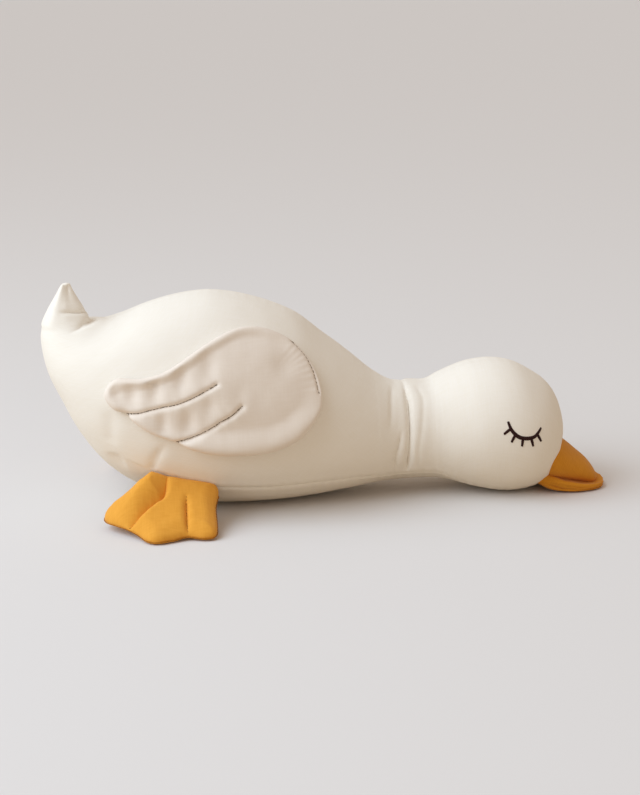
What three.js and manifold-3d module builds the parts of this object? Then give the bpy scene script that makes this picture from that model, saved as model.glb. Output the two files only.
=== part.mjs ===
// A stuffed cloth duck asleep on its belly, with its neck stretched out along the floor, in millimetres.
// +X runs toward the bill, +Y to the duck's left and +Z up. The origin is on the floor, midway along it.
import * as THREE from "three";
import { mergeVertices } from "three/addons/utils/BufferGeometryUtils.js";
import Module from "manifold-3d";

const wasm = await Module();
wasm.setup();

// Cloth, seams and clearances
const clothThickness = 1.2;
const seamGap = 0.35;
const jointClearance = 0.4;
const floorFlatDepth = 0.5;
const cutOverrun = 5;
const weldDistance = 0.00001;

// Torso
const torsoLength = 277;
const torsoHeight = 168;
const torsoWidth = 158;
const torsoFullness = 0.16;

// Neck: a ball of slack cloth between two cups
const neckDiameter = 76;
const neckCentreHeight = 53.5;
const neckBandLength = 28;

// Head and bill
const headLength = 113;
const headHeight = 108;
const headWidth = 106;
const headFullness = 0.08;
const billReach = 34;
const billRootDepth = 26;
const billHeight = 50;
const billWidth = 54;

// Tail
const tailBallDiameter = 39.6;
const tailRise = 28;
const tailSeatTurn = THREE.MathUtils.degToRad(14);
const tailLean = THREE.MathUtils.degToRad(6.6);

// Wings: two cloth layers with thin wadding, sewn on along a short straight line at the shoulder
const wingClearance = 1.6;
const wingWaddingThickness = 5;
const wingHingeRimShare = 0.9;

// Feet: two cloth layers with wadding, hung from a rolled margin in the belly seam
const footWidth = 85;
const footReach = 54;
const footWaddingThickness = 5;
const footRollRadius = 2.5;
const footDropReach = 48;
const footDropPower = 1.4;

// Threads
const stitchThread = 0.9;
const eyeThread = 2;
const stitchLift = 0.7;
const threadSides = 6;
const rodSides = 12;

const tailEnd = -(torsoLength + neckBandLength + headLength + billReach) / 2;
const torsoFront = tailEnd + torsoLength;
const headBack = torsoFront + neckBandLength;
const headFront = headBack + headLength;
const neckCentre = new THREE.Vector3((torsoFront + headBack) / 2, 0, neckCentreHeight);
const neckBallRadius = Math.hypot(neckBandLength, neckDiameter) / 2 - clothThickness - jointClearance;

// Each ring of a form: place along and height of its upper point, the same of its lower point, and half its
// width, as shares of the form's length, height and half width.
const torsoRingShares = [
  [0.166, 0.875, 0, 0.795, 0.355],
  [0.2, 0.877, 0.007, 0.705, 0.48],
  [0.25, 0.903, 0.023, 0.61, 0.61],
  [0.305, 0.942, 0.055, 0.5, 0.735],
  [0.37, 0.975, 0.104, 0.35, 0.85],
  [0.435, 0.995, 0.175, 0.205, 0.935],
  [0.49, 1, 0.285, 0.085, 0.985],
  [0.565, 0.983, 0.413, 0.02, 1],
  [0.645, 0.945, 0.538, 0, 0.975],
  [0.723, 0.885, 0.66, 0, 0.91],
  [0.8, 0.787, 0.773, 0.018, 0.82],
  [0.875, 0.69, 0.866, 0.036, 0.71],
  [0.943, 0.6, 0.943, 0.068, 0.59],
];
const headRingShares = [
  [0.095, 0.9, 0.104, 0.145, 0.775],
  [0.203, 0.945, 0.216, 0.095, 0.87],
  [0.325, 0.984, 0.347, 0.04, 0.96],
  [0.47, 1, 0.49, 0.005, 1],
  [0.613, 0.977, 0.622, 0, 0.99],
  [0.752, 0.905, 0.743, 0.018, 0.915],
  [0.87, 0.815, 0.842, 0.055, 0.765],
  [0.945, 0.7, 0.914, 0.125, 0.57],
  [0.987, 0.56, 0.96, 0.245, 0.32],
  [0.998, 0.445, 0.99, 0.34, 0.11],
];
// The bill's rings start inside the head; its shares are of the bill's length, height and half width.
const billUpperRingShares = [
  [0.3, 0.98, 0.033, 0.24, 1],
  [0.458, 0.77, 0.2, 0.16, 0.963],
  [0.608, 0.61, 0.4, 0.1, 0.907],
  [0.767, 0.44, 0.617, 0.06, 0.778],
  [0.875, 0.27, 0.783, 0.04, 0.574],
  [0.925, 0.15, 0.883, 0.03, 0.296],
];
const billLowerRingShares = [
  [0.133, 0.44, 0, 0.16, 0.926],
  [0.3, 0.32, 0.2, 0.06, 0.963],
  [0.5, 0.22, 0.433, 0, 0.944],
  [0.7, 0.17, 0.667, 0, 0.87],
  [0.85, 0.18, 0.85, 0.01, 0.7],
  [0.95, 0.21, 0.967, 0.05, 0.445],
  [0.99, 0.2, 1, 0.11, 0.185],
];
// The tail's rings above its ball, as shares of the ball's radius along and of the tail's rise upward.
const tailRingShares = [
  [0.667, 0.34, -0.687, 0.275, 0.68],
  [0.445, 0.65, -0.414, 0.607, 0.44],
  [0.263, 0.907, -0.16, 0.914, 0.2],
  [0.14, 0.98, -0.02, 0.98, 0.06],
];
// The wing's outline on the torso's skin: share of the torso's rings, and share of a half turn from the back.
const wingOutlineShares = [
  [0.328, 0.545], [0.345, 0.5], [0.402, 0.435], [0.455, 0.358], [0.515, 0.29], [0.58, 0.222],
  [0.64, 0.194], [0.711, 0.215], [0.75, 0.262], [0.766, 0.332], [0.762, 0.403], [0.735, 0.495],
  [0.69, 0.543], [0.603, 0.575], [0.534, 0.576], [0.508, 0.562], [0.413, 0.576], [0.38, 0.561],
];
const wingMiddleShare = [0.57, 0.4];
const wingHingeShare = [0.742, 0.305];
const wingHingeEndShares = [[0.762, 0.403], [0.711, 0.215]];
const featherUpperShares = [[0.4, 0.548], [0.438, 0.515], [0.473, 0.49], [0.506, 0.455], [0.548, 0.4]];
const featherLowerShares = [[0.516, 0.552], [0.555, 0.509], [0.586, 0.478], [0.604, 0.446]];
const shoulderStitchShares = [
  [0.722, 0.236], [0.734, 0.255], [0.7445, 0.282], [0.7525, 0.315], [0.758, 0.362],
];
const waddingRingShares = [0.45, 0.85];
const discRingShares = [...waddingRingShares, 1];

// The foot's outline seen from above, from the front end of its root: shares of its width toward the tail
// and of its reach outward.
const footOutlineShares = [
  [0, 0], [0.02, 0.32], [0.026, 0.785], [0.13, 0.88], [0.285, 0.825], [0.414, 0.9], [0.53, 0.97],
  [0.62, 0.94], [0.71, 0.76], [0.8, 0.62], [0.9, 0.475], [0.985, 0.31], [1.012, 0.15],
  [0.97, 0.015], [0.85, 0], [0.7, 0.005], [0.584, 0], [0.3, 0],
];
const footMiddleShare = [0.5, 0.4];
const footRootShares = [0.598, 0.491];
const toeStitchInnerShares = [[0.287, 0.2], [0.29, 0.38], [0.291, 0.58], [0.289, 0.77]];
const toeStitchOuterShares = [[0.465, 0.25], [0.56, 0.365], [0.65, 0.475], [0.74, 0.575]];

// The closed eye on the head's skin, placed as the wing is on the torso: its lid and its lashes.
const eyelidShares = [
  [0.422, 0.411], [0.435, 0.443], [0.455, 0.466], [0.482, 0.481], [0.52, 0.483], [0.559, 0.471],
  [0.583, 0.447], [0.602, 0.419],
];
const lashShares = [
  [[0.432, 0.444], [0.4, 0.469]],
  [[0.457, 0.47], [0.438, 0.504]],
  [[0.498, 0.482], [0.493, 0.518]],
  [[0.542, 0.478], [0.555, 0.514]],
  [[0.578, 0.453], [0.603, 0.488]],
];

const torsoRingCount = 12;
const headRingCount = 10;
const tailRingCount = 7;
const billRingCount = 6;
const tailBallTurns = [55, 25, 0].map((degrees) => THREE.MathUtils.degToRad(degrees));
const broadSegments = { side: 6, gusset: 4 };
const smallSegments = { side: 4, gusset: 2 };
const ballSegments = 20;
const ballRings = 10;
const neckBandRings = 4;
const stitchSteps = 9;
const lashSteps = 2;
const slopeStep = 0.001;

// Geometry of any closed solid, from its corners and triangles, with its faces turned outward.
function closedGeometry(corners, triangles) {
  let volume = 0;
  for (const [a, b, c] of triangles) {
    volume += corners[a].dot(corners[b].clone().cross(corners[c]));
  }
  const turned = volume < 0 ? triangles.map(([a, b, c]) => [a, c, b]) : triangles;
  const geometry = new THREE.BufferGeometry().setFromPoints(corners);
  geometry.setIndex(turned.flat());
  geometry.computeVertexNormals();
  return geometry;
}

// Two triangles for a four-cornered face. Faces left of the middle are split the other way than those right
// of it, so that left and right mirror each other and layers one inside the other keep their distance.
// Rows that run back the other way are split the other way again.
function splitFace(corners, a, b, c, d, turnedBack = false) {
  const left = corners[a].y + corners[b].y + corners[c].y + corners[d].y > 0;
  return left !== turnedBack ? [[a, b, d], [b, c, d]] : [[a, b, c], [a, c, d]];
}

function middleOf(points) {
  const middle = new THREE.Vector3();
  for (const point of points) middle.add(point);
  return middle.divideScalar(points.length);
}

// A solid through a row of rings with the same count of points. Its first and last ring are closed by caps
// round a hub, and turnedBack says which rows run back the other way.
function loft(rings, turnedBack = () => false, hubs = [middleOf(rings[0]), middleOf(rings.at(-1))]) {
  const count = rings[0].length;
  const corners = rings.flat();
  const triangles = [];
  for (let row = 0; row + 1 < rings.length; row++) {
    for (let i = 0; i < count; i++) {
      const next = (i + 1) % count;
      const [a, b] = [row * count + i, row * count + next];
      triangles.push(...splitFace(corners, a, b, b + count, a + count, turnedBack(row)));
    }
  }
  for (const [row, flip] of [[0, true], [rings.length - 1, false]]) {
    const hub = corners.length;
    corners.push(flip ? hubs[0] : hubs[1]);
    for (let i = 0; i < count; i++) {
      const [a, b] = [row * count + i, row * count + ((i + 1) % count)];
      triangles.push(flip ? [hub, b, a] : [hub, a, b]);
    }
  }
  return closedGeometry(corners, triangles);
}

// A panel of cloth: the outer and inner face are grids with the same count of rows and columns.
function panel(outer, inner) {
  const rows = outer.length;
  const columns = outer[0].length;
  const corners = [...outer.flat(), ...inner.flat()];
  const under = rows * columns;
  const triangles = [];
  const quad = (a, b, c, d) => triangles.push(...splitFace(corners, a, b, c, d));
  for (let row = 0; row + 1 < rows; row++) {
    for (let column = 0; column + 1 < columns; column++) {
      const a = row * columns + column;
      quad(a, a + 1, a + columns + 1, a + columns);
      triangles.push(
        ...splitFace(corners, under + a, under + a + 1, under + a + columns + 1, under + a + columns).map(
          ([p, q, r]) => [p, r, q],
        ),
      );
    }
  }
  const rim = [];
  for (let column = 0; column + 1 < columns; column++) rim.push(column);
  for (let row = 0; row + 1 < rows; row++) rim.push(row * columns + columns - 1);
  for (let column = columns - 1; column > 0; column--) rim.push((rows - 1) * columns + column);
  for (let row = rows - 1; row > 0; row--) rim.push(row * columns);
  rim.forEach((a, i) => {
    const b = rim[(i + 1) % rim.length];
    quad(b, a, under + a, under + b);
  });
  return closedGeometry(corners, triangles);
}

// A stuffed form, drawn by the line of its back, the line of its belly and its half width along them.
function stuffedForm(rings, fullness, segments = broadSegments) {
  return {
    back: new THREE.SplineCurve(rings.map((ring) => ring.upper)),
    belly: new THREE.SplineCurve(rings.map((ring) => ring.lower)),
    width: new THREE.SplineCurve(rings.map((ring, i) => new THREE.Vector2(i, ring.halfWidth))),
    fullness,
    segments,
  };
}

// A point on a form's skin. The turn is 0 at the back, a quarter at the right side and a half at the belly.
function skinPoint(form, along, turn) {
  const upper = form.back.getPoint(along);
  const lower = form.belly.getPoint(along);
  const halfWidth = form.width.getPoint(along).y;
  const up = Math.cos(turn);
  const side = Math.sin(turn);
  const power = up < 0 ? 1 - form.fullness * Math.sin(Math.PI * along) : 1;
  const rise = Math.sign(up) * Math.abs(up) ** power;
  const out = Math.sign(side) * Math.abs(side) ** power;
  const middle = upper.clone().add(lower).multiplyScalar(1 / 2);
  const reach = upper.clone().sub(lower).multiplyScalar(rise / 2);
  return new THREE.Vector3(middle.x + reach.x, -halfWidth * out, middle.y + reach.y);
}

// The same point moved square to the skin, inward by the given depth.
function insetPoint(form, along, turn, depth) {
  const before = Math.max(0, along - slopeStep);
  const after = Math.min(1, along + slopeStep);
  const lengthwise = skinPoint(form, after, turn).sub(skinPoint(form, before, turn));
  const roundwise = skinPoint(form, along, turn + slopeStep).sub(skinPoint(form, along, turn - slopeStep));
  const inward = lengthwise.cross(roundwise).normalize();
  return skinPoint(form, along, turn).addScaledVector(inward, depth);
}

// The turns round a ring that fall on the seams, with even steps between them.
function ringTurns(seamTurn, segments) {
  const turns = [];
  for (let i = 0; i < segments.side; i++) turns.push((seamTurn * i) / segments.side);
  for (let i = 0; i < segments.gusset; i++) {
    turns.push(THREE.MathUtils.lerp(seamTurn, 2 * Math.PI - seamTurn, i / segments.gusset));
  }
  for (let i = segments.side; i > 0; i--) turns.push(2 * Math.PI - (seamTurn * i) / segments.side);
  return turns;
}

// Rings all round a form, a depth inside its skin, from its first end to its last.
function formRings(form, ringCount, seam, depth) {
  const rings = [];
  for (let row = 0; row < ringCount; row++) {
    const along = row / (ringCount - 1);
    const turns = ringTurns(seam(along), form.segments);
    rings.push(turns.map((turn) => insetPoint(form, along, turn, depth)));
  }
  return rings;
}

// A panel of a form's cover between two seams, whose turns are functions of the place along the form.
function coverPanel(form, ringCount, segments, startTurn, endTurn) {
  const faces = [0, clothThickness].map((depth) => {
    const grid = [];
    for (let row = 0; row < ringCount; row++) {
      const along = row / (ringCount - 1);
      const halfGap = seamGap / (2 * form.width.getPoint(along).y);
      const start = startTurn(along) + halfGap;
      const end = endTurn(along) - halfGap;
      const line = [];
      for (let column = 0; column <= segments; column++) {
        const turn = start + ((end - start) * column) / segments;
        line.push(insetPoint(form, along, turn, depth));
      }
      grid.push(line);
    }
    return grid;
  });
  return panel(faces[0], faces[1]);
}

function toSolid(geometry) {
  const bare = geometry.clone();
  bare.deleteAttribute("normal");
  bare.deleteAttribute("uv");
  const merged = mergeVertices(bare, weldDistance);
  const vertProperties = merged.attributes.position.array;
  const triVerts = new Uint32Array(merged.index.array);
  return new wasm.Manifold(new wasm.Mesh({ numProp: 3, vertProperties, triVerts }));
}

function toGeometry(solid) {
  const { vertProperties, triVerts } = solid.getMesh();
  const geometry = new THREE.BufferGeometry();
  geometry.setAttribute("position", new THREE.BufferAttribute(vertProperties, 3));
  geometry.setIndex(new THREE.BufferAttribute(triVerts, 1));
  geometry.computeVertexNormals();
  return geometry;
}

function cut(geometry, ...cutters) {
  let solid = toSolid(geometry);
  for (const cutter of cutters) solid = solid.subtract(toSolid(cutter));
  return toGeometry(solid);
}

function mirrored(geometry) {
  const copy = geometry.clone().scale(1, -1, 1);
  const index = copy.index.array;
  for (let i = 0; i < index.length; i += 3) [index[i + 1], index[i + 2]] = [index[i + 2], index[i + 1]];
  copy.computeVertexNormals();
  return copy;
}

// A sphere whose poles lie fore and aft, with its corners at the radius.
function ball(radius, centre) {
  const geometry = new THREE.SphereGeometry(radius, ballSegments, ballRings);
  return geometry.rotateZ(Math.PI / 2).translate(centre.x, centre.y, centre.z);
}

// The hollow for a ball: a sphere with its faces at the radius, turned so that they meet the ball's corners.
function cup(radius, centre) {
  const rings = ballRings - 1;
  const faceShare = Math.cos(Math.PI / ballSegments) * Math.cos(Math.PI / (2 * rings));
  const geometry = new THREE.SphereGeometry(radius / faceShare, ballSegments, rings);
  geometry.rotateY(Math.PI / ballSegments).rotateZ(Math.PI / 2);
  return geometry.translate(centre.x, centre.y, centre.z);
}

function joined(geometries) {
  const [first, ...others] = geometries.map(toSolid);
  return toGeometry(others.reduce((solid, other) => solid.add(other), first));
}

// A round thread laid over a piece. Its route runs through pairs of shares, and lookFrom gives the point and
// the direction from which the piece is met at each of them.
function laidThread(mesh, shares, steps, lookFrom, thickness) {
  const route = new THREE.SplineCurve(shares.map(([first, second]) => new THREE.Vector2(first, second)));
  const points = route.getSpacedPoints(steps).map((place) => {
    const { from, toward } = lookFrom(place.x, place.y);
    const [met] = new THREE.Raycaster(from, toward).intersectObject(mesh);
    return met.point.addScaledVector(met.face.normal, thickness / 2 + stitchLift);
  });
  const section = new THREE.Shape();
  section.absarc(0, 0, thickness / 2, 0, 2 * Math.PI);
  const curveSegments = Math.round(threadSides / 2);
  const extrudePath = new THREE.CatmullRomCurve3(points);
  return joined([new THREE.ExtrudeGeometry(section, { steps, curveSegments, extrudePath })]);
}

function inwardAt(form, along, turn) {
  return insetPoint(form, along, turn, clothThickness).sub(skinPoint(form, along, turn)).normalize();
}

// Looks square at a form's skin from outside, at a share of its rings and of a half turn.
function lookAtForm(form, distance) {
  return (along, turnShare) => {
    const turn = turnShare * Math.PI;
    return { from: insetPoint(form, along, turn, -distance), toward: inwardAt(form, along, turn) };
  };
}

const cloth = (colour) => new THREE.MeshStandardMaterial({ color: colour, roughness: 0.9, metalness: 0 });
const linenColour = "#e4dcd0";
const wingColour = "#e2d6ca";
const stuffingColour = "#f4f2ec";
const footColour = "#e0a03a";
const billColour = "#b97b25";
const eyeColour = "#3a2020";
const stitchColour = "#5a5048";

const duck = new THREE.Group();

function addPiece(group, name, geometry, colour) {
  const mesh = new THREE.Mesh(geometry, cloth(colour));
  mesh.name = name;
  group.add(mesh);
}

function addPair(group, name, geometry, colour) {
  addPiece(group, name + "_right", geometry, colour);
  addPiece(group, name + "_left", mirrored(geometry), colour);
}

function torsoPoint(alongShare, upShare) {
  return new THREE.Vector2(tailEnd + alongShare * torsoLength, upShare * torsoHeight - floorFlatDepth);
}

function headPoint(alongShare, upShare) {
  return new THREE.Vector2(headBack + alongShare * headLength, upShare * headHeight - floorFlatDepth);
}

const neckRing = (x) => ({
  upper: new THREE.Vector2(x, neckCentreHeight + neckDiameter / 2),
  lower: new THREE.Vector2(x, neckCentreHeight - neckDiameter / 2),
  halfWidth: neckDiameter / 2,
});

// The tail's seat on the rump: a round cup that leans back with the tail.
const tailSeatRadius = tailBallDiameter / 2 + jointClearance;
const tailCentre = new THREE.Vector3(tailEnd + tailBallDiameter / 2, 0, torsoHeight - tailBallDiameter / 2);

// A ring round the tail's ball, at a turn below the widest one.
function tailBallRing(radius, below) {
  const across = (turn) =>
    new THREE.Vector2(tailCentre.x + radius * Math.cos(turn), tailCentre.z + radius * Math.sin(turn));
  return {
    front: across(tailLean - below),
    rear: across(Math.PI + tailLean + below),
    halfWidth: radius * Math.cos(below),
  };
}

const tailSeat = tailBallRing(tailSeatRadius, tailSeatTurn);
const torsoForm = stuffedForm(
  [
    { upper: tailSeat.front, lower: tailSeat.rear, halfWidth: tailSeat.halfWidth },
    ...torsoRingShares.map(([backAlong, backUp, bellyAlong, bellyUp, side]) => ({
      upper: torsoPoint(backAlong, backUp),
      lower: torsoPoint(bellyAlong, bellyUp),
      halfWidth: (side * torsoWidth) / 2,
    })),
    neckRing(torsoFront),
  ],
  torsoFullness,
);

const headForm = stuffedForm(
  [
    neckRing(headBack),
    ...headRingShares.map(([crownAlong, crownUp, chinAlong, chinUp, side]) => ({
      upper: headPoint(crownAlong, crownUp),
      lower: headPoint(chinAlong, chinUp),
      halfWidth: (side * headWidth) / 2,
    })),
  ],
  headFullness,
);

const floorBlock = new THREE.BoxGeometry(
  torsoLength + headLength + torsoWidth,
  torsoWidth + headWidth,
  torsoHeight,
).translate(0, 0, -torsoHeight / 2);

const neckCup = cup(neckBallRadius + jointClearance, neckCentre);
const tailCup = cup(tailSeatRadius, tailCentre);

const bellyGussetTurn = THREE.MathUtils.degToRad(130);
const chinGussetTurn = THREE.MathUtils.degToRad(132);
const gussetEndTurn = THREE.MathUtils.degToRad(166);
const gussetTaperShare = 0.35;

// The belly gusset is broad under the belly and narrows to the tail.
function bellySeam(along) {
  const broad = THREE.MathUtils.smoothstep(along, 0, gussetTaperShare);
  return THREE.MathUtils.lerp(gussetEndTurn, bellyGussetTurn, broad);
}

// The chin panel carries it on from the throat and narrows to the bill.
function chinSeam(along) {
  const throat = THREE.MathUtils.smoothstep(along, 0, gussetTaperShare);
  const front = THREE.MathUtils.smoothstep(along, 1 - gussetTaperShare, 1);
  return THREE.MathUtils.lerp(
    THREE.MathUtils.lerp(bellyGussetTurn, chinGussetTurn, throat),
    gussetEndTurn,
    front,
  );
}

const backSeam = () => 0;
const bellyFarSeam = (along) => 2 * Math.PI - bellySeam(along);
const chinFarSeam = (along) => 2 * Math.PI - chinSeam(along);

function addTorso(group) {
  const cutters = [neckCup, tailCup, floorBlock];
  const { side: sideSegments, gusset: gussetSegments } = torsoForm.segments;
  const side = cut(coverPanel(torsoForm, torsoRingCount, sideSegments, backSeam, bellySeam), ...cutters);
  const belly = coverPanel(torsoForm, torsoRingCount, gussetSegments, bellySeam, bellyFarSeam);
  const filling = loft(formRings(torsoForm, torsoRingCount, bellySeam, clothThickness + seamGap));
  addPair(group, "side_panel", side, linenColour);
  addPiece(group, "belly_panel", cut(belly, ...cutters), linenColour);
  addPiece(group, "torso_filling", cut(filling, neckCup, tailCup), stuffingColour);
}

function addHead(group) {
  const cutters = [neckCup, floorBlock];
  const { side: sideSegments, gusset: gussetSegments } = headForm.segments;
  const side = cut(coverPanel(headForm, headRingCount, sideSegments, backSeam, chinSeam), ...cutters);
  const chin = coverPanel(headForm, headRingCount, gussetSegments, chinSeam, chinFarSeam);
  const filling = loft(formRings(headForm, headRingCount, chinSeam, clothThickness + seamGap));
  addPair(group, "head_panel", side, linenColour);
  addPiece(group, "chin_panel", cut(chin, ...cutters), linenColour);
  addPiece(group, "head_filling", cut(filling, neckCup), stuffingColour);
}

// The slack neck: a band of cloth round a ball of stuffing, open fore and aft inside the cups.
function addNeck(group) {
  const arc = (radius, way) => {
    const points = [];
    for (let i = 0; i <= neckBandRings; i++) {
      const latitude = (way * Math.PI * (i - neckBandRings / 2)) / ballRings;
      points.push(new THREE.Vector2(radius * Math.cos(latitude), radius * Math.sin(latitude)));
    }
    return points;
  };
  const outer = arc(neckBallRadius, 1);
  const profile = [...outer, ...arc(neckBallRadius - clothThickness, -1), outer[0]];
  const cover = new THREE.LatheGeometry(profile, ballSegments).rotateZ(Math.PI / 2);
  const filling = ball(neckBallRadius - clothThickness - seamGap, new THREE.Vector3());
  const neck = new THREE.Group();
  neck.position.copy(neckCentre);
  addPiece(neck, "neck_cover", cover, linenColour);
  addPiece(neck, "neck_filling", filling, stuffingColour);
  group.add(neck);
}

// A cover closed at its far end and open at its root: the outside from tip to root, then the inside back.
function thimble(form, ringCount, seam) {
  const outside = formRings(form, ringCount, seam, 0).reverse();
  const inside = formRings(form, ringCount, seam, clothThickness);
  return loft([...outside, ...inside], (row) => row + 1 < ringCount);
}

const tailPoint = (share, upShare) =>
  new THREE.Vector2(tailCentre.x + (share * tailBallDiameter) / 2, tailCentre.z + upShare * tailRise);

// The tail's form runs upward from its ball, so its back is the side that faces to the rear.
const tailForm = stuffedForm(
  [
    ...tailBallTurns.map((below) => tailBallRing(tailBallDiameter / 2, below)),
    ...tailRingShares.map(([front, frontUp, rear, rearUp, side]) => ({
      front: tailPoint(front, frontUp),
      rear: tailPoint(rear, rearUp),
      halfWidth: (side * tailBallDiameter) / 2,
    })),
  ].map(({ front, rear, halfWidth }) => ({ upper: rear, lower: front, halfWidth })),
  0,
  smallSegments,
);
const evenSeam = () => (Math.PI * smallSegments.side) / (smallSegments.side + smallSegments.gusset / 2);

function addTail(group) {
  const filling = loft(formRings(tailForm, tailRingCount, evenSeam, clothThickness + seamGap));
  addPiece(group, "tail_cover", thimble(tailForm, tailRingCount, evenSeam), linenColour);
  addPiece(group, "tail_filling", filling, stuffingColour);
}

function billForm(ringShares) {
  const point = (along, up) =>
    new THREE.Vector2(headFront - billRootDepth + along * (billRootDepth + billReach), up * billHeight);
  const rings = ringShares.map(([ridge, ridgeUp, keel, keelUp, side]) => ({
    upper: point(ridge, ridgeUp),
    lower: point(keel, keelUp),
    halfWidth: (side * billWidth) / 2,
  }));
  return stuffedForm(rings, 0, smallSegments);
}

// The upper bill rests on the lower one; both are sewn to the front of the head.
function addBill(group) {
  const upper = billForm(billUpperRingShares);
  const lower = billForm(billLowerRingShares);
  const headBlock = loft(formRings(headForm, headRingCount, chinSeam, -seamGap));
  const lowerBlock = loft(formRings(lower, billRingCount, evenSeam, -seamGap));
  const insideDepth = clothThickness + seamGap;
  const upperFilling = loft(formRings(upper, billRingCount, evenSeam, insideDepth));
  const lowerFilling = loft(formRings(lower, billRingCount, evenSeam, insideDepth));
  const upperCover = cut(thimble(upper, billRingCount, evenSeam), headBlock, lowerBlock);
  const lowerCover = cut(thimble(lower, billRingCount, evenSeam), headBlock, floorBlock);
  addPiece(group, "bill_upper_cover", upperCover, billColour);
  addPiece(group, "bill_upper_filling", cut(upperFilling, headBlock, lowerBlock), stuffingColour);
  addPiece(group, "bill_lower_cover", lowerCover, billColour);
  addPiece(group, "bill_lower_filling", cut(lowerFilling, headBlock), stuffingColour);
}

function addEyes(group) {
  const cheek = group.getObjectByName("head_panel_right");
  const lookFrom = lookAtForm(headForm, headWidth);
  const lid = laidThread(cheek, eyelidShares, stitchSteps, lookFrom, eyeThread);
  const lashes = lashShares.map((shares) => laidThread(cheek, shares, lashSteps, lookFrom, eyeThread));
  addPair(group, "eye_stitching", joined([lid, ...lashes]), eyeColour);
}

// A flat padded piece drawn by its outline: layers between heights over the surface that carries it. The
// place function takes a share of the way out from the middle, an outline point and a height.
function layer(outline, ringShares, place, bottom, top) {
  const ring = (share, height) => outline.map((point) => place(share, point, height(share)));
  const upper = ringShares.map((share) => ring(share, top));
  const lower = ringShares.map((share) => ring(share, bottom)).reverse();
  const hubs = [top, bottom].map((height) => place(0, outline[0], height(0)));
  return loft([...upper, ...lower], (row) => row >= upper.length, hubs);
}

const doming = (share) => Math.sqrt(1 - share * share);

// The three layers of a wing or a foot: cloth, wadding, cloth.
function paddedLayers(outline, place, waddingThickness) {
  const overUnder = () => clothThickness + seamGap;
  const waddingTop = (share) => clothThickness + seamGap + waddingThickness * doming(share);
  const coverBottom = (share) => clothThickness + 2 * seamGap + waddingThickness * doming(share);
  return {
    under: layer(outline, discRingShares, place, () => 0, () => clothThickness),
    wadding: layer(outline, waddingRingShares, place, overUnder, waddingTop),
    over: layer(outline, discRingShares, place, coverBottom, (share) => coverBottom(share) + clothThickness),
    top: (share) => coverBottom(share) + clothThickness,
  };
}

function wingPlace(share, [along, turnShare], height) {
  const [middleAlong, middleTurn] = wingMiddleShare;
  const placeAlong = THREE.MathUtils.lerp(middleAlong, along, share);
  const placeTurn = THREE.MathUtils.lerp(middleTurn, turnShare, share) * Math.PI;
  return insetPoint(torsoForm, placeAlong, placeTurn, -(wingClearance + height));
}

// The wing's hinge line: straight along the shoulder, where the wing's outside stands out most.
function wingHinge(wingTop) {
  const [along, turnShare] = wingHingeShare;
  const turn = turnShare * Math.PI;
  const outward = inwardAt(torsoForm, along, turn).negate();
  const endPoint = ([end, endTurn]) => skinPoint(torsoForm, end, endTurn * Math.PI);
  const [lower, upper] = wingHingeEndShares.map(endPoint);
  const axis = upper.sub(lower);
  axis.addScaledVector(outward, -axis.dot(outward)).normalize();
  const centre = insetPoint(torsoForm, along, turn, -(wingClearance + wingTop(wingHingeRimShare)));
  return { centre, axis, outward, forward: axis.clone().cross(outward) };
}

// Everything on one side of the hinge line's plane, ahead of it or behind it, and half the seam gap more.
function hingeBlock(hinge, way) {
  const reach = torsoLength;
  const block = new THREE.BoxGeometry(reach, reach, reach);
  block.translate(0, 0, (way * (reach - seamGap)) / 2);
  const placed = new THREE.Matrix4().makeBasis(hinge.axis, hinge.outward, hinge.forward);
  return block.applyMatrix4(placed.setPosition(hinge.centre));
}

function addWings(group) {
  const layers = paddedLayers(wingOutlineShares, wingPlace, wingWaddingThickness);
  const hinge = wingHinge(layers.top);
  const ahead = hingeBlock(hinge, 1);
  const behind = hingeBlock(hinge, -1);
  const torsoBlock = loft(formRings(torsoForm, torsoRingCount, bellySeam, -seamGap));
  const margin = layer(wingOutlineShares, discRingShares, wingPlace, () => -wingClearance, layers.top);
  addPair(group, "wing_inner_panel", cut(layers.under, ahead), wingColour);
  addPair(group, "wing_wadding", cut(layers.wadding, ahead), stuffingColour);
  addPair(group, "wing_outer_panel", cut(layers.over, ahead), wingColour);
  addPair(group, "wing_root", cut(margin, behind, torsoBlock), wingColour);
  const lines = [
    ["feather_stitch_upper", "wing_outer_panel_right", featherUpperShares],
    ["feather_stitch_lower", "wing_outer_panel_right", featherLowerShares],
    ["shoulder_topstitch", "wing_root_right", shoulderStitchShares],
  ];
  const lookFrom = lookAtForm(torsoForm, torsoWidth);
  for (const [name, carrier, shares] of lines) {
    const stitch = laidThread(group.getObjectByName(carrier), shares, stitchSteps, lookFrom, stitchThread);
    addPair(group, name, stitch, stitchColour);
  }
}

// The two ends of the roll of cloth that each foot hangs from, front end first, along the belly seam.
const [footFront, footRear] = footRootShares.map((along) =>
  insetPoint(torsoForm, along, bellySeam(along), -(footRollRadius + seamGap)),
);

function rod(from, to, radius, overrun) {
  const way = to.clone().sub(from);
  const length = way.length() + 2 * overrun;
  const geometry = new THREE.CylinderGeometry(radius, radius, length, rodSides);
  const turned = new THREE.Quaternion().setFromUnitVectors(new THREE.Vector3(0, 1, 0), way.normalize());
  const middle = from.clone().add(to).multiplyScalar(1 / 2);
  return geometry.applyQuaternion(turned).translate(middle.x, middle.y, middle.z);
}

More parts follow.
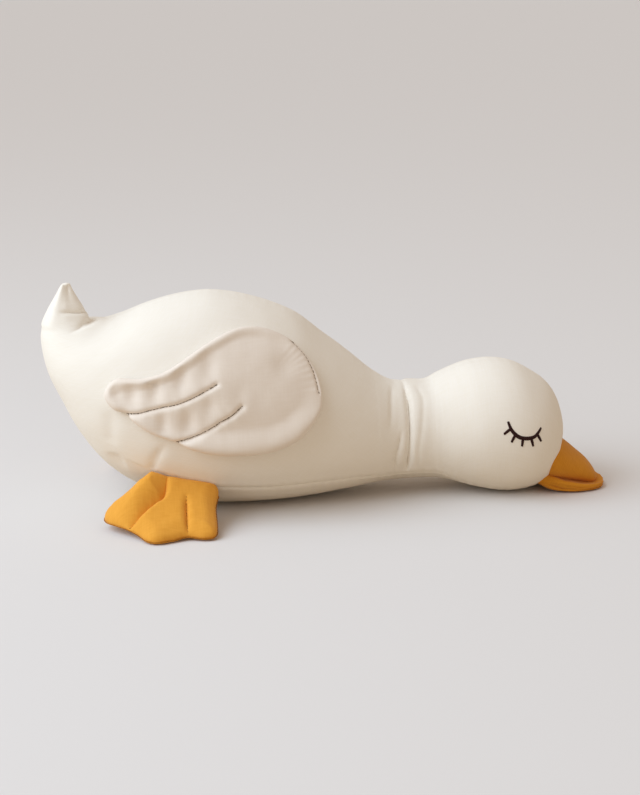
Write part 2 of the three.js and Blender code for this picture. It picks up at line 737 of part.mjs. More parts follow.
// The foot's underside: level with the roll at the root and curving down to the floor at the toes.
function footPlace(share, [across, out], height) {
  const [middleAcross, middleOut] = footMiddleShare;
  const x = footFront.x - THREE.MathUtils.lerp(middleAcross, across, share) * footWidth;
  const y = footFront.y - THREE.MathUtils.lerp(middleOut, out, share) * footReach;
  const root = new THREE.Line3(footFront.clone().setZ(0), footRear.clone().setZ(0));
  const point = new THREE.Vector3(x, y, 0);
  const near = root.closestPointToPointParameter(point, true);
  const distance = root.at(near, new THREE.Vector3()).distanceTo(point);
  const rootHeight = THREE.MathUtils.lerp(footFront.z, footRear.z, near) - clothThickness - seamGap;
  const drop = Math.max(0, 1 - distance / footDropReach) ** footDropPower;
  return new THREE.Vector3(x, y, rootHeight * drop + height);
}

function addFeet(group) {
  const layers = paddedLayers(footOutlineShares, footPlace, footWaddingThickness);
  const clearing = rod(footFront, footRear, footRollRadius + 2 * jointClearance, cutOverrun);
  const torsoBlock = loft(formRings(torsoForm, torsoRingCount, bellySeam, -seamGap));
  addPair(group, "foot_sole_panel", cut(layers.under, clearing), footColour);
  addPair(group, "foot_wadding", cut(layers.wadding, clearing), stuffingColour);
  addPair(group, "foot_top_panel", cut(layers.over, clearing), footColour);
  addPair(group, "foot_root", cut(rod(footFront, footRear, footRollRadius, 0), torsoBlock), footColour);
  const topPanel = group.getObjectByName("foot_top_panel_right");
  const toward = new THREE.Vector3(0, 0, -1);
  const lookFrom = (across, out) => ({ from: footPlace(1, [across, out], torsoHeight), toward });
  const lines = [["toe_stitch_inner", toeStitchInnerShares], ["toe_stitch_outer", toeStitchOuterShares]];
  for (const [name, shares] of lines) {
    const stitch = laidThread(topPanel, shares, stitchSteps, lookFrom, stitchThread);
    addPair(group, name, stitch, footColour);
  }
}

addTorso(duck);
addNeck(duck);
addTail(duck);
addHead(duck);
addBill(duck);
addEyes(duck);
addWings(duck);
addFeet(duck);

export default duck;
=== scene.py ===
"""A stuffed cloth duck asleep on its belly: its covers, wings, feet, bill, eyes and stitches.

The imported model's frame is in metres. The tables here are in millimetres, as the pattern was drawn: +X runs
toward the bill, +Y to the duck's left and +Z up, with the origin on the floor midway along the duck.
"""

import logging
import math
from dataclasses import dataclass, field
from enum import Enum
from typing import Any, Callable, Optional, Sequence

import bpy
import numpy as np
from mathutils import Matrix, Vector, noise
from mathutils.bvhtree import BVHTree

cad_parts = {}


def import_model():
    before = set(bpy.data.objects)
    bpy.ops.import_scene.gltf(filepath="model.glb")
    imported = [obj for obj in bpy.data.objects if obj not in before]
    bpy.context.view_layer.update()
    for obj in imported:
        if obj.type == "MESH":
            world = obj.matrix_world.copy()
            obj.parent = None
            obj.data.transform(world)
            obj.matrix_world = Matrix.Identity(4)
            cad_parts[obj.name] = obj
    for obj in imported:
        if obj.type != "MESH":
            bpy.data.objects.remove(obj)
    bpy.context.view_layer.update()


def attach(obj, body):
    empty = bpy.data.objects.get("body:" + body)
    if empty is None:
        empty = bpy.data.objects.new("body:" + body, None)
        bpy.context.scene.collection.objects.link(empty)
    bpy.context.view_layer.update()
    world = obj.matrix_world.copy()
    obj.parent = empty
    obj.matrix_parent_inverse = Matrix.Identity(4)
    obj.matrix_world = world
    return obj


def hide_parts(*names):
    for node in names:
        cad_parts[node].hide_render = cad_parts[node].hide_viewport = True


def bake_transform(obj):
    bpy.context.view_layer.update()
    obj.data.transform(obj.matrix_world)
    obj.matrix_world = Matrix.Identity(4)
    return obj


LOG = logging.getLogger("duck")
MM = 0.001
Array = np.ndarray

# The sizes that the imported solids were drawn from.
CLOTH = 1.2
TORSO_LENGTH, TORSO_HEIGHT, TORSO_WIDTH = 277.0, 168.0, 158.0
NECK_DIAMETER, NECK_HEIGHT, NECK_BAND = 76.0, 53.5, 28.0
HEAD_LENGTH, HEAD_HEIGHT, HEAD_WIDTH = 113.0, 108.0, 106.0
BILL_REACH, BILL_DEPTH, BILL_HEIGHT, BILL_WIDTH = 34.0, 26.0, 50.0, 54.0
TAIL_DIAMETER, TAIL_RISE, TAIL_LEAN = 39.6, 28.0, 6.6
TAIL_SEAT_RADIUS, TAIL_SEAT_TURN = 20.2, 14.0
FLOOR_FLAT = 0.5
TAIL_END = -(TORSO_LENGTH + NECK_BAND + HEAD_LENGTH + BILL_REACH) / 2
TORSO_FRONT = TAIL_END + TORSO_LENGTH
HEAD_BACK = TORSO_FRONT + NECK_BAND
HEAD_FRONT = HEAD_BACK + HEAD_LENGTH
NECK_X = (TORSO_FRONT + HEAD_BACK) / 2
TAIL_CENTRE = (TAIL_END + TAIL_DIAMETER / 2, TORSO_HEIGHT - TAIL_DIAMETER / 2)

# Each ring: place along and height of its upper point, the same of its lower point, and half its width, as
# shares of the form's length, height and half width.
TORSO_RINGS = (
    (0.166, 0.875, 0, 0.795, 0.355),
    (0.2, 0.877, 0.007, 0.705, 0.48),
    (0.25, 0.903, 0.023, 0.61, 0.61),
    (0.305, 0.942, 0.055, 0.5, 0.735),
    (0.37, 0.975, 0.104, 0.35, 0.85),
    (0.435, 0.995, 0.175, 0.205, 0.935),
    (0.49, 1, 0.285, 0.085, 0.985),
    (0.565, 0.983, 0.413, 0.02, 1),
    (0.645, 0.945, 0.538, 0, 0.975),
    (0.723, 0.885, 0.66, 0, 0.91),
    (0.8, 0.787, 0.773, 0.018, 0.82),
    (0.875, 0.69, 0.866, 0.036, 0.71),
    (0.943, 0.6, 0.943, 0.068, 0.59),
)
HEAD_RINGS = (
    (0.095, 0.9, 0.104, 0.145, 0.775),
    (0.203, 0.945, 0.216, 0.095, 0.87),
    (0.325, 0.984, 0.347, 0.04, 0.96),
    (0.47, 1, 0.49, 0.005, 1),
    (0.613, 0.977, 0.622, 0, 0.99),
    (0.752, 0.905, 0.743, 0.018, 0.915),
    (0.87, 0.815, 0.842, 0.055, 0.765),
    (0.945, 0.7, 0.914, 0.125, 0.57),
    (0.987, 0.56, 0.96, 0.245, 0.32),
    (0.998, 0.445, 0.99, 0.34, 0.11),
)
BILL_UPPER_RINGS = (
    (0.3, 0.94, 0.033, 0.24, 1.3),
    (0.458, 0.765, 0.2, 0.16, 1.2),
    (0.608, 0.62, 0.4, 0.1, 1.0),
    (0.767, 0.46, 0.617, 0.06, 0.81),
    (0.885, 0.28, 0.783, 0.03, 0.6),
    (0.93, 0.15, 0.883, 0.03, 0.31),
)
BILL_LOWER_RINGS = (
    (0.133, 0.44, 0, 0.16, 1.02),
    (0.3, 0.33, 0.2, 0.04, 1.1),
    (0.5, 0.215, 0.433, 0, 1.1),
    (0.7, 0.135, 0.667, 0, 1.02),
    (0.86, 0.105, 0.86, 0, 0.84),
    (0.965, 0.11, 0.975, 0.01, 0.56),
    (1.005, 0.115, 1.01, 0.04, 0.26),
)
BILL_UPPER_TIP, BILL_LOWER_TIP = (222.8, 0, 4.2), (227.4, 0, 4.4)
# The tail's rings from its tip down to its widest one: front, front up, rear, rear up, half width.
TAIL_RINGS = (
    (0.11, 1.0, 0.01, 0.995, 0.05),
    (0.22, 0.975, -0.11, 0.95, 0.14),
    (0.263, 0.907, -0.16, 0.914, 0.2),
    (0.445, 0.65, -0.414, 0.607, 0.44),
    (0.667, 0.34, -0.687, 0.275, 0.68),
)
WING_OUTLINE = (
    (0.332, 0.563), (0.325, 0.528), (0.331, 0.5), (0.346, 0.481), (0.381, 0.455), (0.413, 0.422),
    (0.437, 0.391), (0.473, 0.335), (0.511, 0.283), (0.564, 0.226), (0.62, 0.204), (0.68, 0.216),
    (0.724, 0.253), (0.754, 0.312), (0.765, 0.385), (0.757, 0.45), (0.726, 0.519), (0.672, 0.561),
    (0.601, 0.577), (0.54, 0.577), (0.506, 0.567), (0.453, 0.573), (0.415, 0.568), (0.397, 0.56),
    (0.374, 0.577), (0.35, 0.577),
)
WING_MIDDLE = (0.57, 0.4)
FEATHER_UPPER = ((0.4, 0.557), (0.42, 0.539), (0.44, 0.516), (0.473, 0.49), (0.506, 0.455), (0.548, 0.4))
FEATHER_LOWER = ((0.509, 0.563), (0.533, 0.541), (0.557, 0.515), (0.586, 0.482), (0.605, 0.448))
SHOULDER_STITCH = (
    (0.687, 0.2275), (0.708, 0.245), (0.7235, 0.2635), (0.7395, 0.298), (0.749, 0.335), (0.7555, 0.367),
)
FOOT_OUTLINE = (
    (0.01, 0), (0.028, 0.32), (0.034, 0.785), (0.13, 0.88), (0.285, 0.825), (0.414, 0.9), (0.53, 0.97),
    (0.62, 0.94), (0.71, 0.76), (0.8, 0.62), (0.9, 0.475), (0.985, 0.31), (1.012, 0.15), (0.97, 0.015),
    (0.85, 0), (0.7, 0.005), (0.584, 0), (0.3, 0),
)
FOOT_MIDDLE = (0.5, 0.4)
FOOT_ROOT = (0.598, 0.491)
FOOT_FORK = (0.445, 0.06)
TOE_INNER = ((0.285, 0.31), (0.288, 0.47), (0.289, 0.65), (0.287, 0.79))
TOE_OUTER = ((0.492, 0.3), (0.56, 0.38), (0.635, 0.462), (0.71, 0.543), (0.785, 0.617))
EYELID = (
    (0.422, 0.411), (0.435, 0.443), (0.455, 0.466), (0.482, 0.481), (0.52, 0.483), (0.559, 0.471),
    (0.583, 0.447), (0.602, 0.419),
)
LASHES = (
    ((0.432, 0.444), (0.4, 0.469)),
    ((0.457, 0.47), (0.438, 0.504)),
    ((0.498, 0.482), (0.493, 0.518)),
    ((0.542, 0.478), (0.555, 0.514)),
    ((0.578, 0.453), (0.603, 0.488)),
)


class Side(Enum):
    """The two sides of the duck, as what the right side's places are multiplied by to lie on them."""

    RIGHT = (1, 1, 1)
    LEFT = (1, -1, 1)

    @property
    def suffix(self) -> str:
        """The end of this side's piece names."""
        return "_" + self.name.lower()

    @property
    def flip(self) -> Array:
        """The factors of this side."""
        return np.array(self.value)


class Closing(Enum):
    """How an end of a tube of cloth is closed."""

    POLE = "pole"
    FLAT = "flat"


# Lines and surfaces


@dataclass(frozen=True)
class StationCurve:
    """A smooth line through evenly numbered stations, the same one that the solids were drawn with."""

    points: Array

    def at(self, station: Array) -> Array:
        """The line's points at these stations.

        Args:
            station: Places along the line: 0 at the first point, and one more at each next point.

        Returns:
            One point for each station.
        """
        last = len(self.points) - 1
        station = np.clip(np.asarray(station, float), 0, last)
        cell = np.minimum(np.floor(station).astype(int), last - 1)
        w = (station - cell)[..., None]
        p1, p2 = self.points[cell], self.points[cell + 1]
        p0, p3 = self.points[np.maximum(cell - 1, 0)], self.points[np.minimum(cell + 2, last)]
        v0, v1 = (p2 - p0) / 2, (p3 - p1) / 2
        return (2 * p1 - 2 * p2 + v0 + v1) * w**3 + (3 * p2 - 3 * p1 - 2 * v0 - v1) * w**2 + v0 * w + p1


def open_line(points: Sequence[Sequence[float]], count: int) -> Array:
    """A smooth open line through points.

    Args:
        points: The points that it passes.
        count: How many points to return, evenly numbered.

    Returns:
        The line's points.
    """
    array = np.array(points, float)
    return StationCurve(array).at(np.linspace(0, len(array) - 1, count))


def closed_line(points: Sequence[Sequence[float]], count: int) -> Array:
    """A smooth closed line through points, evenly spaced by the numbers of its points.

    Args:
        points: The points that it passes.
        count: How many points to return.

    Returns:
        The line's points, without the first one again at the end.
    """
    array = np.array(points, float)
    turned = np.concatenate([array[-2:], array, array[:3]])
    return StationCurve(turned).at(2 + np.arange(count) * len(array) / count)


def spaced(line: Array, count: int, closed: bool = False) -> Array:
    """The same line with its points evenly spaced by length.

    Args:
        line: The line's points.
        count: How many points to return.
        closed: Whether the line runs back to its first point.

    Returns:
        The evenly spaced points.
    """
    full = np.concatenate([line, line[:1]]) if closed else line
    reach = np.concatenate([[0], np.cumsum(np.linalg.norm(np.diff(full, axis=0), axis=1))])
    places = np.linspace(0, reach[-1], count + 1)[:-1] if closed else np.linspace(0, reach[-1], count)
    return np.stack([np.interp(places, reach, full[:, i]) for i in range(full.shape[1])], axis=1)


def line_distance(points: Array, line: Array) -> tuple[Array, Array, Array]:
    """How far points lie from a line of straight pieces.

    Args:
        points: The points, in any number of rows.
        line: The line's points.

    Returns:
        The distance of each point, the length along the line where it is nearest, and the vector to there.
    """
    flat = points.reshape(-1, points.shape[-1])
    best = np.full(len(flat), np.inf)
    along = np.zeros(len(flat))
    nearest = np.zeros_like(flat)
    start = 0.0
    for a, b in zip(line[:-1], line[1:]):
        way = b - a
        length = np.linalg.norm(way)
        t = np.clip((flat - a) @ way / max(length**2, 1e-12), 0, 1)
        foot = a + t[:, None] * way
        gap = np.linalg.norm(flat - foot, axis=1)
        closer = gap < best
        best[closer] = gap[closer]
        along[closer] = start + t[closer] * length
        nearest[closer] = foot[closer]
        start += length
    shape = points.shape[:-1]
    return best.reshape(shape), along.reshape(shape), (nearest - flat).reshape(points.shape)


def smooth(value: Array, low: float, high: float) -> Array:
    """A soft step from 0 at low to 1 at high."""
    t = np.clip((np.asarray(value, float) - low) / (high - low), 0, 1)
    return t * t * (3 - 2 * t)


def bell(value: Array, width: float) -> Array:
    """A soft bump: 1 at 0, and nearly nothing past twice the width."""
    return np.exp(-((np.asarray(value, float) / width) ** 2))


def lumps(points: Array, wavelength: float, seed: float) -> Array:
    """Even soft noise over points.

    Args:
        points: Points in millimetres.
        wavelength: The size of a lump.
        seed: Which noise to take.

    Returns:
        A value from about -1 to 1 at each point.
    """
    flat = points.reshape(-1, 3) / wavelength + seed
    values = np.array([noise.noise(Vector(p)) for p in flat])
    return values.reshape(points.shape[:-1])


@dataclass(frozen=True)
class StuffedSkin:
    """The skin of a stuffed form, through rings drawn by an upper point, a lower point and half a width."""

    rings: Array
    fullness: Callable[[Array], Array] = field(default=lambda station: np.zeros_like(station))

    def point(self, station: Array, turn: Array) -> Array:
        """Points on the skin.

        Args:
            station: The place along the rings.
            turn: The turn round them in radians: 0 at the back, a quarter at the right side, a half below.

        Returns:
            The points, in millimetres.
        """
        station, turn = np.broadcast_arrays(np.asarray(station, float), np.asarray(turn, float))
        ring = StationCurve(self.rings).at(station)
        up, side = np.cos(turn), np.sin(turn)
        power = np.where(up < 0, 1 - self.fullness(station), 1.0)
        rise = np.sign(up) * np.abs(up) ** power
        out = np.sign(side) * np.abs(side) ** power
        middle = (ring[..., 0:2] + ring[..., 2:4]) / 2
        reach = (ring[..., 0:2] - ring[..., 2:4]) * rise[..., None] / 2
        place = middle + reach
        return np.stack([place[..., 0], -ring[..., 4] * out, place[..., 1]], -1)

    def outward(self, station: Array, turn: Array) -> Array:
        """The directions square to the skin."""
        step = 0.01
        lengthwise = self.point(station + step, turn) - self.point(station - step, turn)
        roundwise = self.point(station, turn + step) - self.point(station, turn - step)
        square = np.cross(roundwise, lengthwise)
        return square / np.maximum(np.linalg.norm(square, axis=-1, keepdims=True), 1e-9)

    def lifted(self, station: Array, turn: Array, height: Array) -> Array:
        """Points at a height over the skin."""
        return self.point(station, turn) + self.outward(station, turn) * np.asarray(height)[..., None]


# Stations of the one line of rings that runs from the tip of the tail to the front of the head.
SEAT = 6
TORSO_RING_STEPS = 14
NECK = SEAT + TORSO_RING_STEPS + 1
HEAD_START = NECK + 1
HEAD_RING_STEPS = 10
HEAD_END = HEAD_START + HEAD_RING_STEPS

# Where the cloth lies fuller or slacker than the solids: the gusset sags under the neck to these heights at
# these stations, the rump flares up to the tail's sides, and the tail's front is tucked in over its notch.
SLACK_UNDERSIDE = {19: 7.0, 20: 8.0, 21: 8.5, 22: 8.5, 23: 8.0, 24: 6.5, 25: 3.4}
TAIL_FLARE = 3.9
TAIL_FRONT_TUCK = 2.5
TAIL_REAR_TUCK = 1.2
# How much squarer than round the torso and the head are underneath, at their middles.
TORSO_FULLNESS, HEAD_FULLNESS = 0.16, 0.08
# The turns in degrees of the seam round the belly gusset and the chin panel: where each starts, and by how
# much it then turns at either end.
BELLY_SEAM = (166, -36, 3)
CHIN_SEAM = (133, 17, 16)


def tail_ball_ring(radius: float, below: float) -> list[float]:
    """The ring round the tail's ball at a number of degrees under its widest one."""
    turns = [math.radians(TAIL_LEAN - below), math.radians(180 + TAIL_LEAN + below)]
    upper, lower = [
        [TAIL_CENTRE[0] + radius * math.cos(turn), TAIL_CENTRE[1] + radius * math.sin(turn)] for turn in turns
    ]
    return [*upper, *lower, radius * math.cos(math.radians(below))]


def duck_skin() -> StuffedSkin:
    """The skin of tail, torso, neck and head in one line of rings."""
    rings: list[list[float]] = []
    half = TAIL_DIAMETER / 2
    for front, front_up, rear, rear_up, side in TAIL_RINGS:
        rings.append([
            TAIL_CENTRE[0] + front * half, TAIL_CENTRE[1] + front_up * TAIL_RISE,
            TAIL_CENTRE[0] + rear * half, TAIL_CENTRE[1] + rear_up * TAIL_RISE, side * half,
        ])
    rings.append(tail_ball_ring(half, 0))
    rings[-1][0] -= TAIL_FRONT_TUCK
    rings[-1][2] += TAIL_REAR_TUCK
    rings.append(tail_ball_ring(TAIL_SEAT_RADIUS, TAIL_SEAT_TURN))
    rings[-1][4] += TAIL_FLARE
    for start, length, height, width, table in (
        (TAIL_END, TORSO_LENGTH, TORSO_HEIGHT, TORSO_WIDTH, TORSO_RINGS),
        (HEAD_BACK, HEAD_LENGTH, HEAD_HEIGHT, HEAD_WIDTH, HEAD_RINGS),
    ):
        if table is HEAD_RINGS:
            for x in (TORSO_FRONT, NECK_X, HEAD_BACK):
                half = NECK_DIAMETER / 2
                rings.append([x, NECK_HEIGHT + half, x, NECK_HEIGHT - half, half])
        for upper, upper_up, lower, lower_up, side in table:
            rings.append([
                start + upper * length, upper_up * height - FLOOR_FLAT,
                start + lower * length, lower_up * height - FLOOR_FLAT, side * width / 2,
            ])
    for station, height in SLACK_UNDERSIDE.items():
        rings[station][3] = height

    def fullness(station: Array) -> Array:
        """How much squarer than round each ring is underneath."""
        torso, head = form_shares(station)
        return TORSO_FULLNESS * np.sin(np.pi * torso) + HEAD_FULLNESS * np.sin(np.pi * head)

    return StuffedSkin(np.array(rings), fullness)


def form_shares(station: Array) -> tuple[Array, Array]:
    """How far along the torso and along the head stations lie, each from 0 to 1."""
    torso = np.clip((station - SEAT) / TORSO_RING_STEPS, 0, 1)
    head = np.clip((station - HEAD_START) / HEAD_RING_STEPS, 0, 1)
    return torso, head


DUCK = duck_skin()


def torso_place(along: Array, share: Array) -> tuple[Array, Array]:
    """Station and turn of a share along the torso and of a half turn."""
    return SEAT + np.asarray(along) * TORSO_RING_STEPS, np.asarray(share) * np.pi


def head_place(along: Array, share: Array) -> tuple[Array, Array]:
    """Station and turn of a share along the head and of a half turn."""
    return HEAD_START + np.asarray(along) * HEAD_RING_STEPS, np.asarray(share) * np.pi


def gusset_turn(station: Array) -> Array:
    """The turn of the seam between a side and the belly gusset or the chin panel."""
    station = np.asarray(station, float)
    torso, head = form_shares(station)
    belly = BELLY_SEAM[0] + BELLY_SEAM[1] * smooth(torso, 0, 0.35) + BELLY_SEAM[2] * smooth(torso, 0.86, 1)
    chin = CHIN_SEAM[0] + CHIN_SEAM[1] * smooth(head, 0, 0.28) + CHIN_SEAM[2] * smooth(head, 0.65, 1)
    return np.radians(np.where(station < NECK, belly, chin))


def from_back(turn: Array) -> Array:
    """Turns counted from the back to either side: above zero on the right and below it on the left."""
    return (turn + np.pi) % (2 * np.pi) - np.pi


# Meshes


def grid_faces(rows: int, columns: int, closed: bool) -> tuple[Array, Array]:
    """The four-cornered faces of a grid.

    Args:
        rows: The count of rows.
        columns: The count of columns.
        closed: Whether the last column joins the first.

    Returns:
        The faces' corner numbers, and the row and column of each corner, where the last column isn't wrapped.
    """
    span = columns if closed else columns - 1
    row, column = np.meshgrid(np.arange(rows - 1), np.arange(span), indexing="ij")
    steps = ((0, 0), (0, 1), (1, 1), (1, 0))
    places = np.stack([np.stack([row + r, column + c], -1) for r, c in steps], -2).reshape(-1, 4, 2)
    return places[..., 0] * columns + places[..., 1] % columns, places


def cloth_lengths(points: Array, closed: bool) -> Array:
    """Where each point of a grid lies on the flat cloth: its length round the row and along the column."""
    ring = np.concatenate([points, points[:, :1]], axis=1) if closed else points
    around = np.cumsum(np.linalg.norm(np.diff(ring, axis=1), axis=-1), axis=1)
    around = np.concatenate([np.zeros((len(points), 1)), around], axis=1)
    down = np.cumsum(np.linalg.norm(np.diff(ring, axis=0), axis=-1), axis=0)
    down = np.concatenate([np.zeros((1, ring.shape[1])), down], axis=0)
    return np.stack([around, down], axis=-1)


@dataclass
class ClothShape:
    """A closed shape in the making.

    Attributes:
        corners: Its corners in millimetres, in the parts that they were added in.
        faces: The corner numbers of its faces.
        cloth: The places of the faces' corners on the flat cloth, in millimetres.
        count: The count of corners.
    """

    corners: list[Array] = field(default_factory=list)
    faces: list[list[int]] = field(default_factory=list)
    cloth: list[Array] = field(default_factory=list)
    count: int = 0

    def add_corners(self, corners: Array) -> int:
        """Adds corners and returns the number of the first of them."""
        first = self.count
        self.corners.append(corners.reshape(-1, 3))
        self.count += len(self.corners[-1])
        return first

    def add_grid(self, points: Array, closed: bool = True, cloth: Optional[Array] = None) -> int:
        """Adds a grid of points with its faces.

        Args:
            points: Rows and columns of points.
            closed: Whether the last column joins the first.
            cloth: The points' places on the flat cloth, or None to measure them along the rows and columns.

        Returns:
            The number of its first corner.
        """
        first = self.add_corners(points)
        faces, places = grid_faces(*points.shape[:2], closed)
        self.faces.extend((faces + first).tolist())
        if cloth is None:
            cloth = cloth_lengths(points, closed)
        elif closed:
            cloth = np.concatenate([cloth, cloth[:, :1]], axis=1)
        self.cloth.append(cloth[places[..., 0], places[..., 1]].reshape(-1, 2))
        return first

    def add_fan(
        self, rim: Sequence[int], hub: Array, turned: bool = False, axes: Sequence[int] = (0, 1)
    ) -> None:
        """Closes a rim with triangles to a hub.

        Args:
            rim: The corner numbers of the rim, in order.
            hub: The point that they meet at.
            turned: Whether the faces look the other way.
            axes: Which two axes the flat cloth's places are taken from.
        """
        middle = self.add_corners(np.array([hub]))
        flat = np.concatenate(self.corners)[:, list(axes)]
        for a, b in zip(rim, [*rim[1:], rim[0]]):
            face = [middle, b, a] if turned else [middle, a, b]
            self.faces.append(face)
            self.cloth.append(flat[face])

    def on(self, side: Side) -> "ClothShape":
        """The shape, which is drawn for the right side, as it is on a side: the same or mirrored."""
        if side is Side.RIGHT:
            return self
        corners = np.concatenate(self.corners) * side.flip
        cloth, start = np.concatenate(self.cloth), 0
        turned: list[Array] = []
        for face in self.faces:
            turned.append(cloth[start:start + len(face)][::-1])
            start += len(face)
        return ClothShape([corners], [face[::-1] for face in self.faces], turned, len(corners))

    def build(self, name: str, sharp_above: float = 70.0) -> bpy.types.Object:
        """Makes the shape an object with smooth faces and a UV map in metres of cloth.

        Args:
            name: The piece's name.
            sharp_above: The angle in degrees past which an edge stays sharp.

        Returns:
            The object, linked to the scene.
        """
        corners = np.concatenate(self.corners)
        mesh = bpy.data.meshes.new(name)
        mesh.from_pydata((corners * MM).tolist(), [], self.faces)
        mesh.validate()
        weave = mesh.uv_layers.new(name="Weave")
        weave.data.foreach_set("uv", (np.concatenate(self.cloth) * MM).astype(np.float32).ravel())
        if signed_volume(mesh) < 0:
            mesh.flip_normals()
        mesh.shade_smooth()
        mesh.set_sharp_from_angle(angle=math.radians(sharp_above))
        return linked(name, mesh)


def signed_volume(mesh: bpy.types.Mesh) -> float:
    """The volume inside a closed mesh, below zero where its faces look inward."""
    mesh.calc_loop_triangles()
    corners = np.zeros(len(mesh.vertices) * 3)
    mesh.vertices.foreach_get("co", corners)
    corners = corners.reshape(-1, 3)
    triangles = np.zeros(len(mesh.loop_triangles) * 3, np.int32)
    mesh.loop_triangles.foreach_get("vertices", triangles)
    a, b, c = (corners[triangles.reshape(-1, 3)[:, i]] for i in range(3))
    return float(np.einsum("ij,ij->i", a, np.cross(b, c)).sum() / 6)


# Finishes


def colour(hex_value: str) -> tuple[float, float, float, float]:
    """A linear colour from an sRGB hex value."""
    parts = [int(hex_value.lstrip("#")[i:i + 2], 16) / 255 for i in (0, 2, 4)]
    linear = [part / 12.92 if part <= 0.04045 else ((part + 0.055) / 1.055) ** 2.4 for part in parts]
    return (linear[0], linear[1], linear[2], 1.0)


def add_node(
    tree: bpy.types.NodeTree, kind: str, inputs: Optional[dict[Any, Any]] = None, **settings: Any
) -> bpy.types.Node:
    """Adds a node to a tree with its settings, values and links.

    Args:
        tree: The shader or geometry tree.
        kind: The node's type.
        inputs: For each input, by name or number, a value or the output that is linked to it.
        settings: The node's own settings.

    Returns:
        The node.
    """
    node = tree.nodes.new(kind)
    for key, value in settings.items():
        setattr(node, key, value)
    for key, value in (inputs or {}).items():
        if isinstance(value, bpy.types.NodeSocket):
            tree.links.new(value, node.inputs[key])
        else:
            node.inputs[key].default_value = value
    return node


def add_math(
    tree: bpy.types.NodeTree, operation: str, *values: Any, clamp: bool = False
) -> bpy.types.NodeSocket:
    """Adds a math node to a tree.

    Args:
        tree: The shader or geometry tree.
        operation: What the node does.
        values: The numbers or other nodes' outputs that it does that with, in order.
        clamp: Whether the result is kept between 0 and 1.

    Returns:
        The node's output.
    """
    inputs = dict(enumerate(values))
    return add_node(tree, "ShaderNodeMath", inputs, operation=operation, use_clamp=clamp).outputs[0]


def new_material(name: str) -> tuple[bpy.types.Material, bpy.types.NodeTree]:
    """A new material and its shader tree, still without nodes."""
    material = bpy.data.materials.new(name)
    material.use_nodes = True
    material.node_tree.nodes.clear()
    return material, material.node_tree


def linked(name: str, data: bpy.types.ID) -> bpy.types.Object:
    """A new object with this mesh, light or camera, linked to the scene."""
    made = bpy.data.objects.new(name, data)
    bpy.context.scene.collection.objects.link(made)
    return made


@dataclass(frozen=True)
class WovenCloth:
    """A plain-woven cloth: threads of uneven thickness crossing over and under, matt and slightly fuzzy.

    Attributes:
        name: The real material's name.
        pale: Its colour where a thread is thick and high; on the high places of the crossings it is a faint
            painted highlight.
        deep: Its colour between the threads, there partly painted shade.
        pitch: The step from thread to thread, in millimetres.
        slub_length: How long a thick place in a thread is, in millimetres.
        relief: The threads' height, in millimetres.
        roughness: How matt it is.
        sheen: How much light its fuzz catches.
        blotch: How far its colour wanders from place to place.
        blotch_size: The size of such a place, in millimetres.
        crossing: The share of its look that comes from the threads' crossings, and not from the thick places;
            in the colour it paints faint light on the threads and shade between them.
    """

    name: str
    pale: str
    deep: str
    pitch: float
    slub_length: float
    relief: float
    roughness: float
    sheen: float
    blotch: float = 0.12
    blotch_size: float = 45.0
    crossing: float = 0.02

    def build(self) -> bpy.types.Material:
        """Makes the material, which reads its sizes from the cloth's own UV map in metres."""
        material, tree = new_material(self.name)
        place = add_node(tree, "ShaderNodeUVMap", uv_map="Weave")
        split = add_node(tree, "ShaderNodeSeparateXYZ", {0: place.outputs[0]})
        waves = []
        for axis in (0, 1):
            turn = add_math(tree, "MULTIPLY", split.outputs[axis], 2 * math.pi / (self.pitch * MM))
            waves.append(add_math(tree, "SINE", turn))
        crossing = add_math(tree, "MULTIPLY", *waves)
        threads = []
        for across, along in ((self.pitch, self.slub_length), (self.slub_length, self.pitch)):
            stretched = add_node(
                tree, "ShaderNodeMapping",
                {"Vector": place.outputs[0], "Scale": (1 / (across * MM), 1 / (along * MM), 1.0)},
            )
            threads.append(add_node(
                tree, "ShaderNodeTexNoise",
                {"Vector": stretched.outputs[0], "Scale": 1.0, "Detail": 2.0, "Roughness": 0.6},
                noise_dimensions="2D",
            ).outputs["Fac"])
        grain = add_math(tree, "MULTIPLY_ADD", crossing, self.crossing, add_math(tree, "ADD", *threads))
        position = add_node(tree, "ShaderNodeTexCoord")
        blotches = add_node(
            tree, "ShaderNodeTexNoise",
            {"Vector": position.outputs["Object"], "Scale": 1 / (self.blotch_size * MM), "Detail": 3.0},
        )
        shade = add_math(tree, "MULTIPLY_ADD", blotches.outputs["Fac"], self.blotch * 2, grain)
        # The two threads' thicknesses add up to about 1, and the blotches to their own height.
        tone = add_node(
            tree, "ShaderNodeMapRange",
            {"Value": shade, "From Min": 0.55 + self.blotch, "From Max": 1.45 + self.blotch},
        )
        # The colour runs from deep to pale with the thick places and the blotches, which is the cloth's own
        # uneven tone, and faintly with the crossings, which paints a little shade between the threads.
        mix = add_node(
            tree, "ShaderNodeMix",
            {0: tone.outputs[0], 6: colour(self.deep), 7: colour(self.pale)}, data_type="RGBA",
        )
        bump = add_node(
            tree, "ShaderNodeBump", {"Height": grain, "Distance": self.relief * MM, "Strength": 1.0}
        )
        surface = add_node(tree, "ShaderNodeBsdfPrincipled", {
            "Base Color": mix.outputs[2], "Roughness": self.roughness, "Normal": bump.outputs[0],
            "Sheen Weight": self.sheen, "Sheen Roughness": 0.5, "Specular IOR Level": 0.2,
        })
        add_node(tree, "ShaderNodeOutputMaterial", {"Surface": surface.outputs[0]})
        return material


